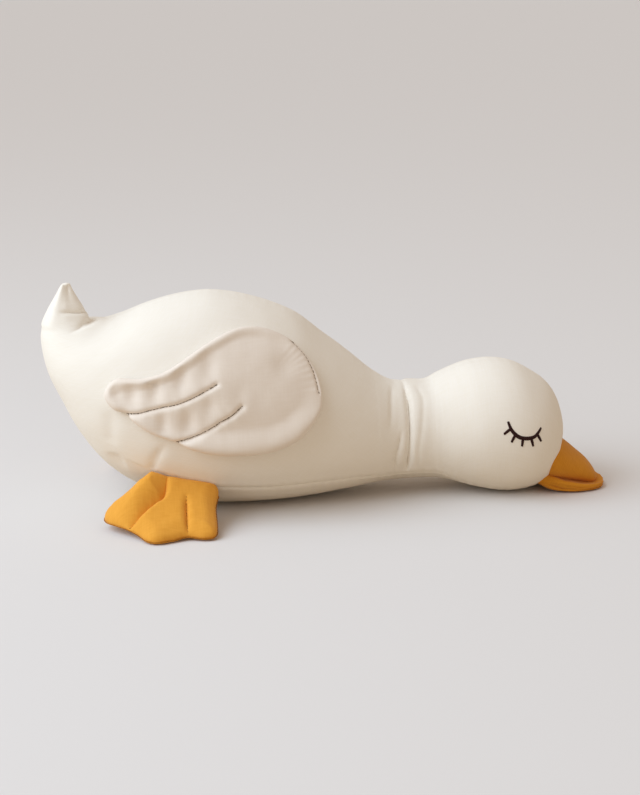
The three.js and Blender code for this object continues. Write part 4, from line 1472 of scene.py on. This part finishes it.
@dataclass
class Wing:
    """A wing: a padded leaf of linen draped on the torso and sewn on along the shoulder.

    Attributes:
        clearance: The gap between the torso's skin and the wing's inner face.
        seam: The height of the seam round the edge over that face.
        level: The height of the flat middle over the seam.
        bulge: How far the edge stands out past the seam.
        rim_samples: The count of points round the edge.
        stitches: The stitches between the feathers.
        topstitch: The stitches along the shoulder.
        feather_lift: How far over the cloth the first ones lie.
        shoulder_lift: How far over it the others lie.
        hinge: A point of the right wing's hinge.
        hinge_axis: The hinge's direction.
        hinge_place: The hinge's place on the torso.
        bend_before: How far in front of the hinge the wing begins to bend.
        bend_after: How far behind it the wing moves in full.
    """

    clearance: float = 1.2
    seam: float = 1.3
    level: float = 2.9
    bulge: float = 0.35
    rim_samples: int = 320
    stitches: StitchPlan = StitchPlan(pitch=2.6, length=2.2, thread=0.5, rise=0.35, dip=0.3, seed=4)
    topstitch: StitchPlan = StitchPlan(pitch=2.8, length=2.2, thread=0.45, rise=0.3, dip=0.3, seed=9)
    feather_lift: float = 0.15
    shoulder_lift: float = 0.1
    hinge: tuple[float, float, float] = (-17.198, -61.961, 115.428)
    hinge_axis: tuple[float, float, float] = (-0.280661, 0.393109, 0.875611)
    hinge_place: tuple[float, float] = (0.742, 0.305)
    bend_before: float = 3.0
    bend_after: float = 6.0

    def __post_init__(self) -> None:
        """Works out the outline, its roll and the seams, which everything else is measured from."""
        places = np.array([torso_place(*share) for share in WING_OUTLINE])
        fine = closed_line(np.concatenate([places, np.array(WING_RIM)], axis=1), 1200)
        skin = DUCK.point(fine[:, 0], fine[:, 1])
        even = spaced(skin, self.rim_samples, True)
        nearest = np.argmin(np.linalg.norm(even[:, None] - skin[None], axis=-1), axis=1)
        self.outline, self.roll = fine[nearest, :2], fine[nearest, 2:]
        self.rim = DUCK.point(self.outline[:, 0], self.outline[:, 1])
        feather = dict(reach=3.8, crest=0.9, pucker=0.2, pitch=9.0, floor=0.22)
        shoulder = dict(reach=2.0, crest=0.3, pucker=0.25, pitch=5.0, floor=0.55)
        self.channels = (
            Channel(self.on_skin(FEATHER_UPPER), seed=2.2, **feather),
            Channel(self.on_skin(FEATHER_LOWER), seed=5.2, **feather),
            Channel(self.on_skin(SHOULDER_STITCH), seed=8.2, **shoulder),
        )

    def line(self, shares: Sequence[Sequence[float]], count: int = 60) -> Array:
        """A stitch line's places on the torso, as stations and turns."""
        return open_line([torso_place(*share) for share in shares], count)

    def on_skin(self, shares: Sequence[Sequence[float]]) -> Array:
        """A stitch line's points on the torso's skin."""
        places = self.line(shares)
        return DUCK.point(places[:, 0], places[:, 1])

    def rolled_edge(self, ground: Array, away: Array) -> Array:
        """The height of the roll of cloth round the edge, and of the flatter middle inside it."""
        gap = np.linalg.norm(ground.reshape(-1, 1, 3) - self.rim[None], axis=-1)
        weight = 1 / (gap**4 + 1)
        roll = (weight @ self.roll / weight.sum(axis=1, keepdims=True)).reshape(ground.shape)
        peak, height, reach = roll[..., 0], roll[..., 1], roll[..., 2]
        inside = 1 - smooth((away - peak) / reach, 0, 1)
        sunk = self.level + (height - self.level) * inside
        return np.where(away < peak, height * pillow(away / peak), sunk)

    def upper(self, ground: Array, away: Array) -> Array:
        """The height of the wing's outer face over the torso's skin."""
        height = self.rolled_edge(ground, away)
        for seam in self.channels:
            left, crest = seam.press(ground)
            height = height * left + crest * smooth(away, 0, 6)
        inner = smooth(away, 2.5, 6)
        for dent in WING_DENTS:
            height += inner * dent.rise(ground)
        wrinkle = 0.45 * lumps(ground, 26, 4.4) + 0.22 * lumps(ground, 11, 9.1)
        return self.clearance + self.seam + np.maximum(height + inner * wrinkle, 0.25 * smooth(away, 0, 1))

    def lower(self, ground: Array, away: Array) -> Array:
        """The height of the wing's inner face over the torso's skin."""
        return self.clearance + self.seam * (1 - pillow(away / self.seam))

    def stitch_line(self, shares: Sequence[Sequence[float]], pad: ClothShape, lift: float) -> StitchLine:
        """A line of stitches let down onto the wing's outer face."""
        places = self.line(shares)
        look = DUCK.outward(places[:, 0], places[:, 1])
        line = StitchLine(DUCK.point(places[:, 0], places[:, 1]), look, np.ones(len(places)))
        return line.laid(pad, lift)

    def bending_span(self) -> tuple[Array, Array]:
        """Where the right wing begins to bend away from the torso, and where it moves in full."""
        pivot, axis = np.array(self.hinge), np.array(self.hinge_axis)
        outward = DUCK.outward(*torso_place(*self.hinge_place))
        forward = np.cross(outward, axis)
        if forward[0] < 0:
            forward = -forward
        return pivot + forward * self.bend_before, pivot - forward * self.bend_after

    def build(self, finishes: Finishes, dark: StitchTree) -> None:
        """Makes both wings with their stitches."""
        pad = PaddedFlat(
            outline=self.outline, middle=np.array(torso_place(*WING_MIDDLE)),
            base=lambda flat: DUCK.point(flat[..., 0], flat[..., 1]),
            rise=lambda flat: DUCK.outward(flat[..., 0], flat[..., 1]),
            upper=self.upper, lower=self.lower, bulge=self.bulge, axes=(0, 2),
        ).shape()
        feathers = [
            self.stitch_line(shares, pad, self.feather_lift) for shares in (FEATHER_UPPER, FEATHER_LOWER)
        ]
        feathers += [line.knot() for line in feathers]
        shoulder = [self.stitch_line(SHOULDER_STITCH, pad, self.shoulder_lift)]
        shoulder += [line.knot() for line in shoulder]
        sewn_edge, free = self.bending_span()
        for side in Side:
            body = "wing" + side.suffix
            piece = pad.on(side).build("wing_pad" + side.suffix)
            # The wing's linen is drawn darker as painted shade.
            dress(piece, finishes.wing_linen)
            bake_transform(piece)
            layers = ("inner_panel", "wadding", "outer_panel", "root")
            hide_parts(*("wing_" + layer + side.suffix for layer in layers))
            rows = [line.on(side) for line in feathers]
            sewn = dark.sew("feather_stitches" + side.suffix, rows, self.stitches)
            dress(sewn, finishes.dark_thread)
            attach(sewn, body)
            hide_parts("feather_stitch_upper" + side.suffix, "feather_stitch_lower" + side.suffix)
            rows = [line.on(side) for line in shoulder]
            sewn = dark.sew("shoulder_stitches" + side.suffix, rows, self.topstitch)
            dress(sewn, finishes.dark_thread)
            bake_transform(sewn)
            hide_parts("shoulder_topstitch" + side.suffix)


@dataclass
class Foot:
    """A webbed foot: two layers of cotton with wadding, quilted into toes and sewn into the belly seam.

    Attributes:
        width: Its width along the duck.
        reach: How far it reaches out to the side.
        roll: How far under the torso's cloth the roll lies that it hangs from.
        allowance: The seam allowance between the two.
        drop_reach: Over what distance from the root its underside curves down to the floor.
        drop_power: How hollow that curve is.
        seam: The height of the seam round the edge over the underside.
        slit: How far in from the edge the two layers stay together.
        puff: The height of the stuffing.
        puff_reach: How far from the edge it takes to reach that height.
        bulge: How far the edge stands out past the seam.
        tuck_from: The place along the duck past which the left foot's rear toe is shorter.
        tuck: The share of its length past there that it keeps.
        rim_samples: The count of points round the edge.
        toe_samples: The count of points along a channel.
        stitches: The stitches between the toes and along the front edge, the edge ones drawn to paint its line
            of shade.
        stitch_lift: How far over the cloth the first ones lie.
        bend_before: How far inside the belly seam the foot begins to bend.
        bend_after: How far outside it the foot moves in full.
    """

    width: float = 85.0
    reach: float = 54.0
    roll: float = 2.5
    allowance: float = 0.35
    drop_reach: float = 48.0
    drop_power: float = 1.4
    seam: float = 2.3
    slit: float = 0.8
    puff: float = 8.2
    puff_reach: float = 10.0
    bulge: float = 1.2
    tuck_from: float = -165.0
    tuck: float = 0.55
    rim_samples: int = 280
    toe_samples: int = 50
    stitches: StitchPlan = StitchPlan(pitch=2.9, length=2.3, thread=0.38, rise=0.15, dip=0.3, seed=6)
    stitch_lift: float = 0.2
    bend_before: float = 0.5
    bend_after: float = 9.0

    def __post_init__(self) -> None:
        """Finds the two ends of the roll of cloth that the foot hangs from, and draws the channels."""
        ends = []
        for along in FOOT_ROOT:
            station = np.array(SEAT + along * TORSO_RING_STEPS)
            height = np.array(self.roll + self.allowance)
            ends.append(DUCK.lifted(station, gusset_turn(station), height))
        self.front, self.rear = ends
        inner, outer = (
            self.base(open_line(shares, self.toe_samples)) for shares in (TOE_INNER, (FOOT_FORK, *TOE_OUTER))
        )
        self.channels = (
            Channel(inner, reach=5.5, crest=0.3, pucker=0.2, pitch=8.0, seed=3.2, floor=0.42, deepens=8.0),
            Channel(
                outer, reach=6.0, crest=0.2, pucker=0.2, pitch=8.0, seed=6.2, floor=0.02, deepens=16.0,
                rear_reach=12.0, rear_crest=5.0,
            ),
        )

    def plan(self, flat: Array) -> Array:
        """Shares of the foot's width and reach as X and Y in millimetres."""
        along, out = flat[..., 0] * self.width, flat[..., 1] * self.reach
        return np.stack([self.front[0] - along, self.front[1] - out], -1)

    def base(self, flat: Array) -> Array:
        """The underside's points: level with the roll at the root, and curving down to the floor."""
        place = self.plan(flat)
        root = np.stack([self.front, self.rear])
        way = root[1, :2] - root[0, :2]
        near = np.clip(((place - root[0, :2]) @ way) / (way @ way), 0, 1)
        distance = np.linalg.norm(place - root[0, :2] - near[..., None] * way, axis=-1)
        height = root[0, 2] + near * (root[1, 2] - root[0, 2]) - CLOTH - self.allowance
        drop = np.maximum(0, 1 - distance / self.drop_reach) ** self.drop_power
        return np.concatenate([place, (height * drop)[..., None]], axis=-1)

    @staticmethod
    def rise(flat: Array) -> Array:
        """Straight up."""
        return np.broadcast_to(np.array([0.0, 0.0, 1.0]), flat.shape[:-1] + (3,))

    def upper(self, ground: Array, away: Array) -> Array:
        """The height of the top over the underside's plain surface."""
        rear_toe = smooth((self.front[0] - ground[..., 0]) / self.width, 0.6, 0.8)
        share = pillow((away - self.slit) / (self.puff_reach * (1 + rear_toe)))
        height = self.puff * share + 0.3 * smooth(away, 0.3, 1)
        for seam in self.channels:
            left, crest = seam.press(ground)
            height = height * left + crest * share
        wrinkle = 0.5 * lumps(ground, 20, 6.6) + 0.25 * lumps(ground, 9, 2.4)
        return self.seam + height + wrinkle * smooth(away, 1, 6)

    def lower(self, ground: Array, away: Array) -> Array:
        """The height of the underside, which bellies down from the seam."""
        return self.seam - (self.seam - 0.3) * pillow((away - self.slit / 2) / 5)

    def edge_shade_stitches(self, outline: Array, out: float = 0.9, reach: float = 1.7) -> StitchLine:
        """Darker stitches along the front edge, from the rear toe round to the foot's front side, which paint
        the line of shade in the seam between the two layers.

        Args:
            outline: The foot's outline on its pattern.
            out: How far outside the outline they lie.
            reach: The share of the plan's length and height that they have.

        Returns:
            Their line.
        """
        rim = self.base(outline)
        along = np.roll(rim, -1, axis=0) - np.roll(rim, 1, axis=0)
        outward = np.stack([along[:, 1], -along[:, 0], 0 * along[:, 0]], axis=1)
        outward /= np.linalg.norm(outward, axis=1, keepdims=True)
        if np.mean(np.sum(outward * (rim - rim.mean(axis=0)), axis=1)) < 0:
            outward = -outward
        # Nearer the root than this share of its reach, the foot has no such seam.
        front = outline[:, 1] > 0.12
        points = rim[front] + outward[front] * out + [0, 0, self.seam]
        return StitchLine(points, outward[front], np.full(len(points), reach))

    def shortened(self, shape: ClothShape) -> ClothShape:
        """The left foot, whose rear toe turned out a little shorter and stays hidden behind the rump."""
        corners = np.concatenate(shape.corners)
        past = np.minimum(corners[:, 0] - self.tuck_from, 0)
        corners[:, 0] -= past * (1 - self.tuck)
        return ClothShape([corners], shape.faces, shape.cloth, len(corners))

    def bending_span(self) -> tuple[Array, Array]:
        """Where the right foot begins to bend away from the belly seam, and where it moves in full."""
        middle = (self.front + self.rear) / 2
        way = self.rear - self.front
        out = np.array([way[1], -way[0], 0])
        out = out / np.linalg.norm(out) * (1 if out[1] < 0 else -1)
        return middle - out * self.bend_before, middle + out * self.bend_after

    def build(self, finishes: Finishes, thread: StitchTree) -> None:
        """Makes both feet with their stitches."""
        size = np.array([self.width, self.reach])
        outline = spaced(closed_line(FOOT_OUTLINE, 1200) * size, self.rim_samples, True) / size
        pad = PaddedFlat(
            outline=outline, middle=np.array(FOOT_MIDDLE), base=self.base,
            rise=self.rise, upper=self.upper, lower=self.lower, bulge=self.bulge, axes=(0, 1),
        ).shape()
        toes = []
        for shares in (TOE_INNER, TOE_OUTER):
            places = open_line(shares, self.toe_samples)
            toe = StitchLine(self.base(places), self.rise(places).copy(), np.ones(self.toe_samples))
            toes.append(toe.laid(pad, self.stitch_lift))
        sewn_edge, free = self.bending_span()
        for side in Side:
            body = "foot" + side.suffix
            left = side is Side.LEFT
            shape = self.shortened(pad.on(side)) if left else pad
            piece = shape.build("foot_pad" + side.suffix)
            dress(piece, finishes.foot_cotton)
            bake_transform(piece)
            layers = ("sole_panel", "wadding", "top_panel", "root")
            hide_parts(*("foot_" + layer + side.suffix for layer in layers))
            # On the right foot, darker stitches along the front edge paint the line of shade in its seam.
            rows = [line.on(side) for line in toes] if left else [*toes, self.edge_shade_stitches(outline)]
            sewn = thread.sew("toe_stitches" + side.suffix, rows, self.stitches)
            dress(sewn, finishes.foot_thread)
            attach(sewn, body)
            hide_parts("toe_stitch_inner" + side.suffix, "toe_stitch_outer" + side.suffix)


@dataclass
class Bill:
    """The two halves of the bill, stuffed and sewn to the front of the head.

    Attributes:
        rows: The count of rows from the head to the tip.
        columns: The count of columns round each half.
        lump_height: The height of the stuffing's lumps.
        lip: The height of the lower half's rolled lip.
        lip_degrees: Its place, in degrees from the top of that half.
        lip_width: Its width, in degrees.
        lip_folds: The folds under it: each one's place, depth and width.
        cap: Shares of the round cap at the tip where it has rows.
    """

    rows: int = 90
    columns: int = 200
    lump_height: float = 0.4
    lip: float = 2.2
    lip_degrees: float = 70.0
    lip_width: float = 13.0
    lip_folds: tuple[tuple[float, float, float], ...] = ((84, 0.8, 3.0), (99, 2.0, 6.5), (118, 0.6, 4.0))
    cap: tuple[float, ...] = (0.25, 0.5, 0.75)

    @staticmethod
    def skin(table: Sequence[Sequence[float]], full: float) -> StuffedSkin:
        """One half's skin from its table of rings, with a share of squareness below."""
        start, length = HEAD_FRONT - BILL_DEPTH, BILL_DEPTH + BILL_REACH
        rings = [
            [start + a * length, b * BILL_HEIGHT, start + c * length, d * BILL_HEIGHT, s * BILL_WIDTH / 2]
            for a, b, c, d, s in table
        ]
        return StuffedSkin(np.array(rings), lambda station: np.full_like(station, full))

    def rolled_lip(self, points: Array, station: Array, turn: Array) -> Array:
        """The lower half's rolled edge and the folds that run along it from the head to the tip."""
        # The lip and its folds wander up and down by a few degrees.
        degrees = np.degrees(np.abs(from_back(turn))) + 7 * lumps(points * [1, 0.3, 0.3], 13, 8.8)
        rise = self.lip * bell(degrees - self.lip_degrees, self.lip_width)
        for place, depth, width in self.lip_folds:
            # Each fold comes and goes along the bill, in its own rhythm.
            run = 0.55 + 0.45 * np.sin(station * 2.3 + place)
            rise -= depth * run * bell(degrees - place, width)
        return rise * smooth(station, 0, 1.2) * (1 - 0.75 * smooth(station, 4.3, 5.8))

    def shape(self, skin: StuffedSkin, tip: Sequence[float], seed: float, rolled: bool) -> ClothShape:
        """One half's closed shape.

        Args:
            skin: Its skin.
            tip: The point that its front closes to.
            seed: Which lumps its cloth has.
            rolled: Whether it has the rolled lip.

        Returns:
            The shape.
        """
        last = len(skin.rings) - 1
        station = np.linspace(0, last, self.rows)
        turn = np.linspace(0, 2 * np.pi, self.columns + 1)[:-1]
        station, turn = np.meshgrid(station, turn, indexing="ij")
        plain = skin.point(station, turn)
        rise = self.lump_height * lumps(plain, 16, seed)
        if rolled:
            rise += self.rolled_lip(plain, station, turn)
        points = plain + skin.outward(station, turn) * rise[..., None]
        points[..., 2] = soft_floor(points[..., 2])
        ring, hub = points[-1], np.array(tip)
        centre = ring.mean(axis=0)
        caps = []
        for share in self.cap:
            out, forward = math.cos(share * math.pi / 2), math.sin(share * math.pi / 2)
            caps.append(centre + (ring - centre) * out + (hub - centre) * forward)
        points = np.concatenate([points, np.stack(caps)])
        shape = ClothShape()
        first = shape.add_grid(points)
        count = points.shape[1]
        shape.add_fan(list(range(first, first + count)), points[0].mean(axis=0))
        last_ring = first + (len(points) - 1) * count
        shape.add_fan(list(range(last_ring, last_ring + count)), hub, True)
        return shape

    def build(self, finishes: Finishes) -> None:
        """Makes both halves."""
        for name, table, tip, seed, full in (
            ("upper", BILL_UPPER_RINGS, BILL_UPPER_TIP, 1.5, 0.0),
            ("lower", BILL_LOWER_RINGS, BILL_LOWER_TIP, 2.5, 0.5),
        ):
            piece = self.shape(self.skin(table, full), tip, seed, full > 0).build("bill_" + name)
            # The bill's cotton is drawn darker as painted shade.
            dress(piece, finishes.bill_cotton)
            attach(piece, "head")
            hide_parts("bill_" + name + "_cover", "bill_" + name + "_filling")


@dataclass
class Eye:
    """A closed eye in satin stitch: a curved lid and five lashes.

    Attributes:
        satin: The stitches.
        lift: How far over the head's cloth they lie.
        lid_taper: The stitches' shares of their full size along the lid.
        lash_taper: The same along a lash, from the lid out.
    """

    satin: StitchPlan = StitchPlan(pitch=0.42, length=2.8, thread=0.5, rise=1.5, dip=0.35, turn=1.35, seed=3)
    lift: float = 0.15
    lid_taper: tuple[float, ...] = (0.6, 0.95, 1.1, 1.1, 0.95, 0.6)
    lash_taper: tuple[float, ...] = (0.75, 0.8, 0.6)

    def line(self, shares: Sequence[Sequence[float]], count: int, taper: Sequence[float]) -> StitchLine:
        """A line of satin stitch on the head's skin.

        Args:
            shares: Its places on the head.
            count: How many points it has.
            taper: The stitches' share of their full length along it.

        Returns:
            The line.
        """
        places = open_line([head_place(*share) for share in shares], count)
        look = DUCK.outward(places[:, 0], places[:, 1])
        points = DUCK.point(places[:, 0], places[:, 1])
        rise = Cover().relief(points, places[:, 0], places[:, 1]) + self.lift
        reach = np.interp(np.linspace(0, 1, count), np.linspace(0, 1, len(taper)), taper)
        return StitchLine(points + look * rise[:, None], look, reach)

    def build(self, finishes: Finishes, floss: StitchTree) -> None:
        """Makes both eyes."""
        lines = [self.line(EYELID, 60, self.lid_taper)]
        lines += [self.line(shares, 12, self.lash_taper) for shares in LASHES]
        for side in Side:
            rows = [line.on(side) for line in lines]
            sewn = floss.sew("eye_embroidery" + side.suffix, rows, self.satin)
            dress(sewn, finishes.eye_thread)
            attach(sewn, "head")
            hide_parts("eye_stitching" + side.suffix)


# The studio


@dataclass(frozen=True)
class Lamp:
    """A light of the studio. Its place and size are in metres, but a sun's size is in radians."""

    name: str
    kind: str
    place: tuple[float, float, float]
    size: float
    power: float


# A window's broad light and a nearer soft box, both at the upper left.
LAMPS = (
    Lamp("window", "SUN", (-1.42, -0.38, 1.34), math.radians(62), 1.58),
    Lamp("soft box", "AREA", (-1.42, -0.5, 1.2), 1.4, 12.0),
)


@dataclass
class Studio:
    """A plain pale floor, soft light from the upper left, and the photograph's camera.

    Attributes:
        aim: The point that camera and lights look at, in metres.
        distance: The camera's distance from there.
        yaw: How many degrees the camera stands toward the tail.
        elevation: How many degrees it stands up.
        lens: Its focal length in millimetres.
        floor_width: How wide the floor is.
        floor_colour: The floor's colour.
        wall_colour: The colour past the floor's far edge.
        bounce_colour: The colour that the floor throws back at the duck.
        key_colour: The lights' cool colour.
        room_colour: The room's warm colour.
        room_strength: Its strength.
    """

    aim: tuple[float, float, float] = (-0.0065, 0.0002, 0.0785)
    distance: float = 1.4
    yaw: float = 6.0
    elevation: float = 15.0
    lens: float = 79.0
    floor_width: float = 40.0
    floor_colour: str = "#e5e5e8"
    wall_colour: str = "#cbc6c0"
    bounce_colour: str = "#d1c2ae"
    key_colour: tuple[float, float, float] = (0.76, 0.89, 1.0)
    room_colour: tuple[float, float, float, float] = (1.0, 0.82, 0.65, 1.0)
    room_strength: float = 0.52

    def build(self) -> None:
        """Makes floor, lights, world and camera."""
        scene = bpy.context.scene
        scene.view_settings.view_transform = "Standard"
        self.lay_floor()
        self.hang_lights()
        self.light_room()
        camera = linked("camera", bpy.data.cameras.new("camera"))
        camera.data.lens = self.lens
        camera.data.clip_start, camera.data.clip_end = 0.05, 60
        yaw, up = math.radians(self.yaw), math.radians(self.elevation)
        back = Vector((-math.sin(yaw) * math.cos(up), -math.cos(yaw) * math.cos(up), math.sin(up)))
        self.turn_to_duck(camera, Vector(self.aim) + back * self.distance)
        scene.camera = camera

    def turn_to_duck(self, looker: bpy.types.Object, place: Vector) -> None:
        """Puts a camera or a light at a place and turns it to the duck."""
        looker.location = place
        looker.rotation_mode = "QUATERNION"
        looker.rotation_quaternion = (Vector(self.aim) - place).to_track_quat("-Z", "Y")

    def light_room(self) -> None:
        """Makes the room's warm light, which is seen past the floor's far edge as a plain pale wall."""
        world = bpy.data.worlds.new("studio")
        world.use_nodes = True
        tree = world.node_tree
        tree.nodes.clear()
        light, wall = (
            add_node(tree, "ShaderNodeBackground", {"Color": tint, "Strength": strength}).outputs[0]
            for tint, strength in ((self.room_colour, self.room_strength), (colour(self.wall_colour), 1.0))
        )
        shown = add_node(tree, "ShaderNodeMixShader", {0: self.seen(tree), 1: light, 2: wall})
        add_node(tree, "ShaderNodeOutputWorld", {"Surface": shown.outputs[0]})
        bpy.context.scene.world = world

    @staticmethod
    def seen(tree: bpy.types.NodeTree) -> bpy.types.NodeSocket:
        """The share of a ray that looks at something, straight or by a reflection or through glass."""
        path = add_node(tree, "ShaderNodeLightPath")
        seen = path.outputs["Is Camera Ray"]
        for ray in ("Is Glossy Ray", "Is Transmission Ray"):
            seen = add_math(tree, "ADD", seen, path.outputs[ray], clamp=True)
        return seen

    def lay_floor(self) -> None:
        """Makes the floor, which throws less and warmer light back than its own pale colour would."""
        mesh, half = bpy.data.meshes.new("floor"), self.floor_width / 2
        rim = [(-half, -half, 0), (half, -half, 0), (half, half, 0), (-half, half, 0)]
        mesh.from_pydata(rim, [], [(0, 1, 2, 3)])
        material, tree = new_material("studio floor")
        shown = add_node(tree, "ShaderNodeMix", {
            0: self.seen(tree), 6: colour(self.bounce_colour), 7: colour(self.floor_colour),
        }, data_type="RGBA")
        surface = add_node(tree, "ShaderNodeBsdfPrincipled", {
            "Base Color": shown.outputs[2], "Roughness": 0.9, "Specular IOR Level": 0.1,
        })
        add_node(tree, "ShaderNodeOutputMaterial", {"Surface": surface.outputs[0]})
        mesh.materials.append(material)
        floor = linked("floor", mesh)

    def hang_lights(self) -> None:
        """Hangs the lights and turns them to the duck."""
        for lamp in LAMPS:
            data = bpy.data.lights.new(lamp.name, lamp.kind)
            data.energy, data.color = lamp.power, self.key_colour
            if lamp.kind == "SUN":
                data.angle = lamp.size
            else:
                data.shape, data.size = "DISK", lamp.size
            self.turn_to_duck(linked(lamp.name, data), Vector(lamp.place))


def corners(box: tuple[Vector, Vector]) -> list[list[float]]:
    """A box's two corners as plain lists."""
    return [list(corner) for corner in box]


def main() -> None:
    """Builds the studio and the duck."""
    logging.basicConfig(level=logging.INFO, format="%(name)s: %(message)s")
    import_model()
    Studio().build()
    finishes = Finishes.made()
    dark, mustard, floss = (
        StitchTree(material) for material in (finishes.dark_thread, finishes.foot_thread, finishes.eye_thread)
    )
    Cover().build(finishes)
    Wing().build(finishes, dark)
    Foot().build(finishes, mustard)
    Bill().build(finishes)
    Eye().build(finishes, floss)


if __name__ == "__main__":
    main()
